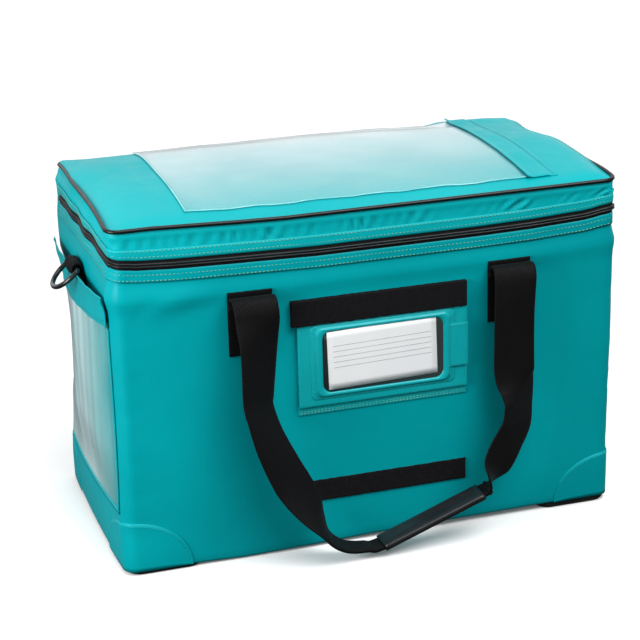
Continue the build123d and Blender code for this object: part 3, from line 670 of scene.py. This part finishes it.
def lid_grid(place, inset=0, columns=90, rows=44):
    """Rows of points over the lid's rounded outline."""
    half_x, half_y = HALF_LENGTH - inset, HALF_DEPTH - inset
    corner = CORNER - inset
    result = []
    for y in edge_spacing(rows, half_y, corner):
        over = max(0, abs(y) - (half_y - corner))
        reach = half_x - (corner - sqrt(max(corner**2 - over**2, 0)))
        result.append([place(x, y) for x in spread(-reach, reach, 2 * reach / columns)])
    return result


def edge_height(along):
    """Where the lid's side meets its top."""
    return arch_height(outline(along)[1])


def lid_gathers(s, z):
    """Slanting gathers over the lid's upper seam: upright in the middle, few at the far left."""
    x, _, _, _ = outline(s)
    slant = 1.1 * ease(0, 160, x)
    fullness = 0.45 + 0.55 * ease(-170, -60, x)
    low, high = LID_FACING_TOP - 1, edge_height(s) - 6
    return 3.5 * fullness * pucker(s, z, low, high, slant, 11.5)


def build_lid_skin():
    def side_point(s, level):
        z = LID_FOOT + level * (edge_height(s) - LID_FOOT)
        roll = 0.8 * hill(z, edge_height(s) - 5, 5)
        return wall(s, z, lid_gathers(s, z) + roll)

    top = grid("lid_top_panel", lid_grid(lid_top))
    side = surface("lid_side", spread(1, 0, 0.05), all_round(3), side_point, closed=True)
    skin = thicken(join("lid_skin", [top, side], outward=True), 0.8)
    dress(skin, TEAL_LID_PAINTED_LIGHTER, "teal_fabric", "lid", "lid_shell")


def build_lid_foam():
    """The foam inside the lid, just under the skin wherever that has moved."""
    under, foot = 1.6, LID_FOOT + 1

    def side_point(s, level):
        return wall(s, foot + level * (edge_height(s) - under - foot), -1.8 * under)

    top = grid("foam_top", lid_grid(lambda x, y: lid_top(x, y, -under), under, 30, 14))
    side = surface("foam_side", (1, 0.5, 0), all_round(12), side_point, closed=True)
    dress(join("lid_foam_pad", [top, side]), FOAM, "foam", "lid", "lid_foam")


def build_piping():
    """A round cord all along the lid's upper edge, a little lower at the back and the right."""
    radius, stand_off, lift = 1.9, 0.6, 0.6
    steps, centres, rows = all_round(4), [], []
    for s in steps:
        x, y, _, _ = outline(s)
        right_end = ease(215, 230, x) * ease(-100, -50, y)
        back = ease(60, 100, y) * ease(-HALF_LENGTH, -200, x)
        height = Vector((0, 0, lift - 3 * max(right_end, back)))
        centres.append(wall(s, edge_height(s), stand_off) + height)
    turns = [tau * i / 10 for i in range(10)]
    for index, (s, centre) in enumerate(zip(steps, centres)):
        heading = (centres[(index + 1) % len(centres)] - centres[index - 1]).normalized()
        side = heading.cross(way_out(s, 0.5)).normalized()
        up = side.cross(heading).normalized()
        rows.append([centre + up * radius * cos(a) + side * radius * sin(a) for a in turns])
    cord = grid("lid_edge_piping", rows + rows[:1], closed=True)
    dress(cord, PIPING, "piping", "lid", "lid_piping")


def build_lid_lining():
    def under(x, y):
        return Vector((x, y, LID_FOOT + 0.1)) + drift(x, y, LID_FOOT)

    lining = thicken(grid("lid_lining", lid_grid(under, inset=1.2)), 0.8, offset=1)
    dress(lining, LINING, "lining", "lid", "lid_liner")


# ---- Lid pocket: clear window and its cover strip ----
def build_lid_pocket():
    low_x, high_x, half_y = -160, 168, 99.5

    def wander(x, y):
        return 0.8 * sin(x / 9) + 0.8 * ripple(x, y, 3, 14)

    def film_point(x, y):
        edge = min(x - low_x, half_y - abs(y))
        loose = ease(0, 30, edge)
        wave = 0.45 * loose * ripple(x * 0.6, y * 1.4, 0, 45)
        lift = 1 + 0.5 * hill(edge, 0, 5) + 0.6 * loose + wave
        return lid_top(x, y + (wander(x, y) if abs(y) > half_y - 1 else 0), lift)

    ys = spread(-half_y, half_y, 4)
    window = thicken(surface("lid_window_film", ys, spread(low_x, high_x, 4), film_point), 0.5)
    dress(window, FILM_TOP, "clear_sheet", "lid", "lid_window")

    # The pale strips along the window's front and left edges are a painted highlight: the glint on
    # the film's cut edge.
    def edge_line(places, in_x, in_y):
        def line_point(place, station):
            (x, y), (step, lift) = place, station
            return lid_top(x + step * in_x, y + (step + wander(x, y)) * in_y, lift)

        return surface("edge_line", ((0, 1.2), (0.5, 2), (1.1, 1.6)), places, line_point)

    front = edge_line([(x, -half_y) for x in spread(low_x, 153, 3)], 0, 1)
    left = edge_line([(low_x, y) for y in spread(-half_y, half_y, 3)], 1, 0)
    edge = join("window_edge_glint", [front, left], outward=True)
    dress(edge, FILM_EDGE_GLINT, "clear_sheet", "lid")


def build_cover():
    near_x, hinge_x, far_x, half_y, seam_x = 154, 177, 183.2, 103, 179.5

    def cover_point(x, y):
        lift = 1.9 + 2.4 * hill(x, near_x, 5) + 0.25 * ripple(x, y, 0, 12)
        return lid_top(x, y, lift - 1.1 * ease(hinge_x - 3, hinge_x, x))

    xs, ys = spread(near_x, far_x, 2.2), spread(-half_y, half_y, 4)
    cover = thicken(surface("lid_cover_strip", ys, xs, cover_point), 1.1, bevel=0.3)
    dress(cover, TEAL_LID_PAINTED_LIGHTER, "teal_fabric")
    start, end = ((hinge_x + 3) * MM, 0, 0.329), ((hinge_x - 3) * MM, 0, 0.329)
    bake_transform(cover)
    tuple(start)
    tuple(end)
    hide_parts("lid_pocket_cover", "lid_cover_seam")
    path = [lid_top(seam_x, y, 1.2) for y in spread(-half_y + 2, half_y - 2, 6)]
    stitches("cover_stitches", path, Vector((0, 0, 1)), "lid", 3.4)


# ---- Left end: document pocket ----
# Heights along the end, in y, and how deep the pocket bulges there.
HEM_TOP = ((-108, 253.5), (-40, 250.5), (105, 250))
HEM_FOOT = ((-108, 230.5), (-60, 224), (0, 219), (90, 216))
POCKET_FOOT = ((-104, 57), (-20, 51.5), (103, 50.5))
POCKET_DEPTH = (
    (-108, 0.8), (-96, 1.2), (-84, 3), (-50, 6.2), (0, 7.2), (60, 6.6), (96, 4.6), (106, 3.4)
)
HEM_OVERLAP = 4


def pocket_bulge(y, z):
    """How far the end pocket stands off the wall: most in the middle, loose at the back."""
    depth = table(POCKET_DEPTH, y)
    fold = 0.12 * ripple(y * 2.2, 0, z * 0.3, 40)
    return 0.9 + depth * (1 + fold) * ease(50, 115, z)


def build_end_pocket():
    front, rear, hem_front = -104, 103, -107

    def film_point(y, share):
        low, high = table(POCKET_FOOT, y), table(HEM_FOOT, y) + HEM_OVERLAP
        z = low + share * (high - low)
        return wall(along_left(y), z, pocket_bulge(y, z))

    film = surface("end_pocket_film", spread(1, 0, 0.03), spread(rear, front, 3.5), film_point)
    film = thicken(film, 0.5)
    dress(film, FILM_END, "clear_sheet", "case", "end_pocket_sheet")

    def hem_point(y, share):
        low, high = table(HEM_FOOT, y), table(HEM_TOP, y)
        z = low + share * (high - low)
        lip = 0.8 * hill(z, high, 4) + 1.6 * hill(y, hem_front, 10)
        return wall(along_left(y), z, pocket_bulge(y, z) + 0.9 + lip + 0.3 * ripple(y, 0, z, 18))

    hem = surface("end_pocket_band", spread(1, 0, 0.1), spread(105, hem_front, 3.5), hem_point)
    hem = thicken(hem, 1.2, bevel=0.4)
    dress(hem, TEAL, "teal_fabric", "case", "end_pocket_hem")
    path = [
        wall(along_left(y), table(HEM_FOOT, y) + 4, pocket_bulge(y, 222) + 1.3)
        for y in spread(103, -105, 6)
    ]
    stitches("hem_stitches", path, Vector((-1, 0, 0)), "case", 3.6)

    def side_point(z, station):
        return wall(along_left(front + station[0]), z, 1.1 + station[1])

    def foot_point(y, station):
        return wall(along_left(y), table(POCKET_FOOT, y) + station[0], station[1])

    edge_rows = ((0, 0), (-0.7, 0.7), (-1.6, 0))  # towards the front, outward
    foot_rows = ((3, 1.1), (1, 1.5), (-1.5, 1.1))  # up, outward
    edge = surface("pocket_side", edge_rows, spread(57, 228, 6), side_point)
    foot = surface("pocket_foot", foot_rows, spread(rear, front - 1.6, 4), foot_point)
    welt = thicken(join("end_pocket_foot", [edge, foot], outward=True), 0.8)
    dress(welt, TEAL, "teal_fabric", "case", "end_pocket_welt")


def build_ring_tab(side, word):
    """Gathered webbing that rises from behind the pocket's hem and loops round the ring's bar."""
    bar_out, bar_z, wrap, half = 8, 255, 6.3, 15
    profile = [(1, 232, 0), (1.1, 244, 0)]  # distance out, z, how bunched
    for turn in range(190, -135, -25):
        a = radians(turn)
        profile.append((bar_out + wrap * cos(a), bar_z + wrap * sin(a), 1))
    profile += [(4.6, 246.5, 0.6), (3.4, 240, 0.2), (3, 232, 0)]

    def tab_point(y, station):
        out, z, bunched = station
        rounded = 1 - 0.22 * bunched * (y / half) ** 4
        ridge = 0.55 * bunched * sin(y * 1.4 + 0.03 * z)
        reach = (out - bar_out) * rounded + bar_out + ridge
        height = (z - bar_z) * rounded + bar_z
        return Vector((side * (HALF_LENGTH + reach), y * (1 - 0.08 * bunched), height))

    name = f"ring_webbing_{word}"
    tab = surface(name, profile, spread(-half, half, 1), tab_point, cell=(0.001, 0.002))
    dress(thicken(tab, 1, offset=0), WEBBING, "webbing", "case", f"ring_tab_{word}")


# ---- Corner patches ----
def build_corner_patches():
    """Quarter-round cloth at each bottom corner, folded round the upright edge."""
    corners = (  # end of the bend, reach to each side, distance out
        (LEFT_START, 48, 0.5), (FRONT_START, 57, 0.9),
        (RIGHT_START, 54, 0.9), (BACK_START, 48, 0.5),
    )
    height, low = 44, FOOT + 1
    turns, parts = [radians(t) for t in spread(2, 178, 4)], []
    for number, (end, reach, out) in enumerate(corners):
        middle = end - BEND / 2

        def place(t, share=1, margin=0):
            return middle - (reach - margin) * cos(t), low + (height - margin) * sin(t) * share

        shares, name = spread(1, 0, 0.09), f"patch_{number}"
        parts.append(surface(name, shares, turns, lambda t, share: wall(*place(t, share), out)))
        places = [place(t, margin=3) for t in turns[1:-1]]
        path, ways = [wall(*p, out + 0.1) for p in places], [way_out(p[0]) for p in places]
        stitches(f"patch_stitches_{number}", path, ways, "case", 3.4)
    patches = thicken(join("corner_patch_cloth", parts, outward=True), 0.7)
    dress(patches, TEAL, "teal_fabric", "case", "corner_patches")


# ---- Front and back: anchors, loop strips, seam ----
def on_front(x, z, out):
    return wall(along_front(x), z, out)


def on_back(x, z, out):
    return wall(along_back(x), z, out)


def flat_strip(name, x_span, z_span, out, thickness, material, slot, body, *nodes, rough_edge=0,
               place=on_front):
    """A flat strip over the front panel, or wherever place puts it."""
    def point(x, z):
        fray = rough_edge * ripple(x, z, 0, 2.3) if z in z_span or x in x_span else 0
        return place(x, z + fray, out)

    xs = spread(*x_span, 2.5)
    if place is on_back:
        xs.reverse()
    strip = surface(name, spread(z_span[1], z_span[0], 2.5), xs, point, cell=(0.0025, 0.0025))
    strip = thicken(strip, thickness, bevel=min(0.3, thickness / 4))
    return dress(strip, material, slot, body, *nodes)


def build_front_features():
    flat_strip(
        "lower_loop_tape", (STRIP_X[0] + 3, STRIP_X[1]), (46, 66), 1.4, 1.4, FUZZ,
        "hook_and_loop", "case", "lower_loop_strip", rough_edge=0.5,
    )
    flat_strip(
        "upper_loop_tape", STRIP_X, (215, 238.5), 1.2, 1.2, FUZZ, "hook_and_loop", "case",
        "upper_loop_strip", rough_edge=0.4,
    )
    flat_strip(
        "flap_seam_strip", PANEL_X, (130.5, 138.5), 1, 0.9, TEAL_VINYL, "teal_fabric", "case",
        "flap_seam",
    )
    for index, z in enumerate((132, 133.8)):
        path = [on_front(x, z, 1.1) for x in spread(PANEL_X[0] + 1, PANEL_X[1] - 1, 6)]
        stitches(f"seam_stitches_{index}", path, Vector((0, -1, 0)), "case", 3.2, THREAD)


def build_anchors():
    """The patches that each handle's webbing is sewn to."""
    apart, half = 120, 20
    for face, place, shift in (("front", on_front, FRONT_SHIFT), ("back", on_back, -FRONT_SHIFT)):
        parts = []
        for word, middle in (("left", shift - apart), ("right", shift + apart)):
            parts.append(flat_strip(
                f"anchor_{face}_{word}", (middle - half, middle + half), (195, 254), 2, 2,
                WEBBING, "webbing", None, rough_edge=0.3, place=place,
            ))
        both = join(f"{face}_anchor_patches", parts)
        dress(both, WEBBING, "webbing", "case", f"{face}_anchors")


# ---- Carry handles ----
# (x, distance out of the front, z, turn of the webbing's face in degrees, share folded in half)
LEFT_LEG = (
    (-112, 3.2, 238, 0, 0), (-112, 3.4, 245, 0, 0), (-112, 8.5, 249.3, 0, 0),
    (-111.5, 15, 247.6, 0, 0), (-111, 19, 240, 1, 0), (-110.5, 20, 230, 4, 0),
    (-110.4, 20.5, 212, 19, 0), (-111.5, 21, 187, 27, 0), (-113, 22, 160, 33, 0),
    (-111.6, 23, 146, 40, 0), (-104.6, 25.5, 120, 37, 0), (-92.5, 28, 91, 31, 0),
    (-84, 29.5, 75, 32, 0), (-71, 31.5, 54, 46, 0), (-62.5, 32.5, 38.3, 66, 0.1),
    (-54, 33, 22.5, 82, 0.4), (-40, 33, 12.5, 88, 0.8),
)
RIGHT_LEG = (
    (95, 34, 49, -78, 0.75), (100, 33, 56, -52, 0.3), (105, 32, 65, -28, 0),
    (110, 31, 76, -20, 0), (116.5, 29.5, 87, -20, 0), (126, 27, 102.3, -24, 0),
    (129.8, 24, 120.7, -27, 0), (129.5, 22, 134.6, -20, 0), (126.5, 20.5, 152, -4, 0),
    (126.2, 20, 180, -4, 0), (126.4, 20, 208, -4, 0), (127, 20, 228, -2, 0),
    (127.5, 19, 240, 0, 0), (128, 15, 247.6, 0, 0), (128, 8.5, 249.3, 0, 0),
    (128, 3.4, 245, 0, 0), (128, 3.2, 238, 0, 0),
)
GRIP_FOOT, GRIP_HEAD = (-8.1, 33, 9.5), (90.1, 34, 45.9)
STRAP_LEAD = 14
FLAT_WIDTH, FLAT_THICKNESS = 40, 2
FOLDED_WIDTH, FOLDED_THICKNESS = 20, 4
ANCHOR_FOLD = 225  # above this height the webbing turns over towards its anchor


def strap_point(station):
    return before_front(station[0], station[2], station[1])


def strap_runs():
    """(point, turn, fold share) along each leg, both running on to the middle of the grip."""
    foot, head = strap_point(GRIP_FOOT), strap_point(GRIP_HEAD)
    middle = (foot + head) / 2
    left = [(strap_point(leg), leg[3], leg[4]) for leg in LEFT_LEG]
    left += [(foot - Vector((STRAP_LEAD, 0, 0)), 90, 1), (foot, 90, 1), (middle, 90, 1)]
    right = [(middle, -90, 1), (head, -90, 1)]
    right += [(strap_point(leg), leg[3], leg[4]) for leg in RIGHT_LEG]
    return (left, right), foot, head


def strap_crease(point, u):
    """The diagonal fold across the right leg: the webbing bends back below it."""
    if point.x < 60:
        return 0
    below = (130.5 - 1.02 * u - point.z) / 1.43
    return -1.6 * ease(0, 6, below) * (1 - ease(16, 38, below)) * (0.55 - u / 45)


def between(values, place):
    """Catmull-Rom value at a place along a list of numbers or vectors."""
    last = len(values) - 1
    index = min(int(place), last - 1)
    t = place - index
    before, start = values[max(index - 1, 0)], values[index]
    end, after = values[index + 1], values[min(index + 2, last)]
    return 0.5 * (
        2 * start
        + (end - before) * t
        + (2 * before - 5 * start + 4 * end - after) * t * t
        + (3 * start - before - 3 * end + after) * t * t * t
    )


def strap_section(width, thickness, bow):
    """Points round the webbing: across its width and its thickness, edges rounded."""
    half, thin = width / 2, thickness / 2
    across = (-1, -0.985, -0.9, -0.7, -0.45, -0.2, 0, 0.2, 0.45, 0.7, 0.9, 0.985, 1)
    fullness = {0.985: 0.55, 1: 0}
    upper = [(u * half, thin * fullness.get(abs(u), 1)) for u in across]
    lower = [(u, -t) for u, t in upper[-2:0:-1]]
    return [(u, t + bow * (1 - (u / half) ** 2)) for u, t in upper + lower]


def strap_rows(stations):
    """Sections of the webbing along one leg, with the coordinates its weave follows."""
    points, turns, folds = ([station[part] for station in stations] for part in range(3))
    rows, uvs, travelled, previous = [], [], 0, points[0]
    last = len(points) - 1
    for place in spread(0, last, 0.1):
        centre = between(points, place)
        ahead = between(points, min(place + 0.05, last))
        heading = (ahead - between(points, max(place - 0.05, 0))).normalized()
        turn = radians(min(max(between(turns, place), -90), 90))
        fold = min(max(between(folds, place), 0), 1)
        face_on = Vector((0, -1, 0)).cross(heading).normalized()
        if centre.z > ANCHOR_FOLD:
            face_on = Vector((1 if centre.x < 0 else -1, 0, 0))
        across = face_on * cos(turn) + Vector((0, 1, 0)) * sin(turn)
        across = (across - heading * across.dot(heading)).normalized()
        out = heading.cross(across).normalized()
        width = FLAT_WIDTH + fold * (FOLDED_WIDTH - FLAT_WIDTH)
        thickness = FLAT_THICKNESS + fold * (FOLDED_THICKNESS - FLAT_THICKNESS)
        travelled += (centre - previous).length
        previous = centre
        bow = (1 - fold) * ease(245, 215, centre.z) * (0.5 + 1.2 * ripple(travelled, 0, 0, 45))
        row = []
        for u, t in strap_section(width, thickness, bow):
            row.append(centre + across * u + out * (t + strap_crease(centre, u)))
            uvs.append((travelled * MM, u * MM))
        rows.append(row)
    return rows, uvs


def build_handle(name, side):
    """One handle's webbing and grip: side is -1 in front, and 1 turns them round to the back."""
    runs, foot, head = strap_runs()
    legs = []
    for stations in runs:
        rows, uvs = strap_rows(stations)
        legs.append(grid(f"{name}_leg", rows, closed=True, uvs=uvs))
    strap = join(f"{name}_webbing", legs)
    grip = build_grip(name, foot, head)
    if side > 0:
        for obj in (strap, grip):
            obj.data.transform(Matrix.Rotation(pi, 4, "Z"))
    dress(strap, WEBBING, "webbing")
    start, end = (0, side * 0.13, 0.256), (0, side * 0.135, 0.183)
    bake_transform(strap)
    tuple(start)
    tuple(end)
    dress(grip, GRIP, "grip_vinyl", f"{name}_handle")
    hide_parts(f"{name}_strap")
    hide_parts(f"{name}_grip")


def build_grip(name, foot, head):
    """Vinyl sleeve folded flat round the webbing, with a hollow along the middle of its faces."""
    half_width, half_height, inset, around = 12.5, 4, 1.5, 28
    heading = (head - foot).normalized()
    across = Vector((0, 1, 0))
    up = heading.cross(across).normalized()

    def sleeve_point(i, t):
        c, s = cos(tau * i / around), sin(tau * i / around)
        u = half_width * abs(c) ** 0.5 * (1 if c > 0 else -1)
        v = half_height * abs(s) ** 0.7 * (1 if s > 0 else -1)
        v = v * (1 - 0.22 * hill(u, 2, 9)) + 0.25 * ripple(u, t, 0, 14)
        return foot + heading * (inset + t) + across * u + up * v

    lengths = spread(0, (head - foot).length - 2 * inset, 4)
    sleeve = surface(f"{name}_grip_sleeve", lengths, range(around), sleeve_point, closed=True)
    return thicken(sleeve, 1)


# ---- Address flap ----
def rounded_loop(middle, half_x, half_z, corner):
    """(x, z) places round a rounded rectangle on the front, counter-clockwise."""
    loop = []
    for cx, cz, start in ((1, 1, 0), (-1, 1, 90), (-1, -1, 180), (1, -1, 270)):
        for turn in spread(0, 90, 7.5):
            a = radians(start + turn)
            x = middle[0] + cx * (half_x - corner) + corner * cos(a)
            loop.append((x, middle[1] + cz * (half_z - corner) + corner * sin(a)))
    return loop


def filled_loop(name, loop, out, middle):
    """A flat sheet bounded by a loop, in rings towards its middle."""
    def ring_point(place, share):
        (x, z), (mx, mz) = place, middle
        return before_front(mx + (x - mx) * share, mz + (z - mz) * share, out)

    return surface(name, spread(1, 0.02, 0.25), loop, ring_point, closed=True, flip=True)


def build_flap():
    """The flap's cloth and its hook tape on both faces."""
    panel = flat_strip(
        "flap_cloth", PANEL_X, (138.6, 236), 3.6, 0.9, TEAL_VINYL, "teal_fabric",
        "address_flap", "flap_panel", place=before_front,
    )
    tapes = (("rear", 238, 2.7, 1.1, 0), ("front", 238.5, 5.1, 1.4, 0.5))
    for face, top, out, thickness, rough_edge in tapes:
        flat_strip(
            f"flap_hook_tape_{face}", STRIP_X, (215, top), out, thickness, FUZZ, "hook_and_loop",
            "address_flap", f"flap_hook_{face}", rough_edge=rough_edge, place=before_front,
        )


def build_flap_tab():
    """The tab over the window's right side, and the flap's stitches."""
    flat_strip(
        "flap_side_tab_cloth", (68, 87.8), (159, 199.5), 5.3, 0.8, TEAL_VINYL, "teal_fabric",
        "address_flap", "flap_side_tab", place=before_front,
    )
    rows_of_stitches = (  # from (x, z), to (x, z), distance out
        ((70, 197.5), (86.5, 197.5), 5.4), ((70, 161), (86.5, 161), 5.4),
        ((70.5, 150), (70.5, 208), 5.5), ((85.5, 150), (85.5, 208), 5.5),
        ((-56, 147), (-56, 211), 4.2), ((-50, 145.5), (66, 145.5), 4.2),
    )
    for index, (*ends, out) in enumerate(rows_of_stitches):
        path, name = [before_front(*end, out) for end in ends], f"flap_stitches_{index}"
        stitches(name, path, Vector((0, -1, 0)), "address_flap", 2.6, bold=0.25)


def build_flap_window():
    """The padded frame on the flap, with the clear film and the black backing inside it."""
    body, middle = "address_flap", (FRONT_SHIFT, 179)
    half_x, half_z, breadth = 67.5, 34.5, 11
    profile = (  # inset from the frame's outer edge, how far it stands out
        (0, 0), (0.2, 0.3), (1, 0.45), (4.4, 0.45), (4.9, 1), (5.7, 1.7), (6.8, 1.9),
        (9, 1.7), (10.4, 1.3), (11, 0.3),
    )
    rows = []
    for inset, out in profile:
        share = inset / breadth
        loop = rounded_loop(middle, half_x - inset, half_z - 6 * share, 5 + 3 * share)
        rows.append([before_front(x, z, 3.7 + out) for x, z in loop])
    border = grid("flap_window_frame", rows, closed=True)
    face_outward(border)
    dress(border, TEAL_VINYL, "teal_fabric", body, "flap_frame")
    opening = rounded_loop(middle, 56.3, 28.3, 7.8)
    backing = thicken(filled_loop("flap_window_backing", opening, 4.2, middle), 0.4)
    dress(backing, BACKING, "backing", body, "flap_backing")
    film = filled_loop("flap_window_film", opening, 5.1, middle)
    face_outward(film)
    dress(film, FILM_FLAP, "clear_sheet", body, "flap_film")


def build_card():
    """The blank address card, a little askew, with its ruled lines."""
    tilt, (middle_x, middle_z) = radians(1.4), (7, 181)

    def card_rows(half, levels, out):
        rows = []
        for v in levels:
            places = [(u * cos(tilt) - v * sin(tilt), u * sin(tilt) + v * cos(tilt))
                      for u in spread(-half, half, 6)]
            rows.append([before_front(middle_x + x, middle_z + z, out) for x, z in places])
        return rows

    card = thicken(grid("address_card", card_rows(51, spread(27, -27, 6), 4.6)), 0.3)
    dress(card, CARD, "card", "address_flap", "flap_card")
    lines = [
        grid(f"ruling_{index}", card_rows(46, (v + 0.22, v - 0.22), 4.65))
        for index, v in enumerate((13, 8, 3, -2, -7))
    ]
    dress(join("card_ruled_lines", lines), CARD_INK, "card", "address_flap")


# ---- CAD nodes that stay as they are, in better materials ----
KEPT = {
    "foam_right": FOAM, "foam_base": FOAM, "inner_liner": LINING, "base_board": BOARD,
    "rubber_feet": RUBBER, "ring_left": METAL, "ring_right": METAL,
    "zip_slider_front": METAL, "zip_slider_rear": METAL,
    "zip_pull_front": METAL, "zip_pull_rear": METAL,
    "hinge_strip_lower": TEAL, "hinge_strip_upper": TEAL_LID_PAINTED_LIGHTER,
}


def dress_kept_nodes():
    for name, material in KEPT.items():
        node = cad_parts[name]
        if not node.material_slots:
            node.data.materials.append(material)
        for used in node.material_slots:
            used.link = "OBJECT"
            used.material = material


# ---- Studio ----
def lamp(name, kind, place, aim, power, **settings):
    """A light at a place, shining towards a point."""
    light = bpy.data.lights.new(name, kind)
    light.energy = power
    for key, value in settings.items():
        setattr(light, key, value)
    holder = bpy.data.objects.new(name, light)
    holder.location = place
    holder.rotation_euler = (Vector(aim) - Vector(place)).to_track_quat("-Z", "Y").to_euler()
    bpy.context.scene.collection.objects.link(holder)


def build_world():
    """Soft surround: a bright backdrop behind the bag, dimmer in front and below."""
    world = bpy.data.worlds.new("studio")
    bpy.context.scene.world = world
    nodes = Nodes(world)
    way = nodes.add("ShaderNodeSeparateXYZ", {"Vector": nodes.place["Generated"]}).outputs
    smooth = {"interpolation_type": "SMOOTHSTEP"}
    behind = nodes.span(way["Y"], 0.3, 0.95, -0.2, 0.7, **smooth)
    above = nodes.span(way["Z"], 0.15, 1, -0.25, 0.1, **smooth)
    strength = nodes.sum("MULTIPLY", behind, above)
    nodes.fill(nodes.tree.nodes["Background"], {"Color": (1, 1, 1, 1), "Strength": strength})


def build_floor():
    reach = 9000
    corners = [(-reach, -reach, 0), (reach, -reach, 0), (reach, reach, 0), (-reach, reach, 0)]
    floor = piece("floor", corners, [(0, 1, 2, 3)])
    nodes = look("pale_floor")
    pale = nodes.ramp(nodes.noise(2), (246.99, 246.99, 246.99), (250.46, 250.46, 250.46))
    glow = {"Emission_Color": (1, 1, 1, 1), "Emission_Strength": 0.07}
    floor.data.materials.append(nodes.finish(pale, 0.8, **glow))
    floor.visible_diffuse = False
    floor.visible_glossy = False


def build_studio():
    bpy.context.scene.view_settings.view_transform = "Standard"
    build_world()
    build_floor()
    lamp("sun", "SUN", (0, 0, 0), (-0.2, 0.45, -0.87), 1.95, angle=radians(50))
    lamp("key", "AREA", (-0.78, -0.38, 0.4), (-0.15, -0.1, 0.18), 5.4, size=0.4)
    lamp("fill", "AREA", (0.35, -0.6, 0.88), (0.1, -0.1, 0.26), 2.9, size=0.5)


def build_camera():
    """The photograph's viewpoint, fitted to the corners of the case."""
    azimuth, elevation, roll = -0.3032, 0.3444, -0.0259
    target, distance = Vector((-11.35, 0, 172.5)), 1884.18
    back = Vector((sin(azimuth) * cos(elevation), -cos(azimuth) * cos(elevation), sin(elevation)))
    level = (-back).to_track_quat("-Z", "Y").to_matrix().to_4x4()
    data = bpy.data.cameras.new("camera")
    data.lens, data.sensor_width, data.clip_end = 112.95, 36, 60
    camera = bpy.data.objects.new("camera", data)
    place = Matrix.Translation((target + back * distance) * MM)
    camera.matrix_world = place @ level @ Matrix.Rotation(roll, 4, "Z")
    bpy.context.scene.collection.objects.link(camera)
    bpy.context.scene.camera = camera


build_camera()
build_studio()
build_body_skin()
build_wall_foams()
build_rim()
build_bands()
build_zip()
build_lid_skin()
build_lid_foam()
build_piping()
build_lid_lining()
build_lid_pocket()
build_cover()
build_end_pocket()
build_ring_tab(-1, "left")
build_ring_tab(1, "right")
build_corner_patches()
build_front_features()
build_anchors()
build_handle("front", -1)
build_handle("back", 1)
build_flap()
build_flap_window()
build_card()
build_flap_tab()
dress_kept_nodes()
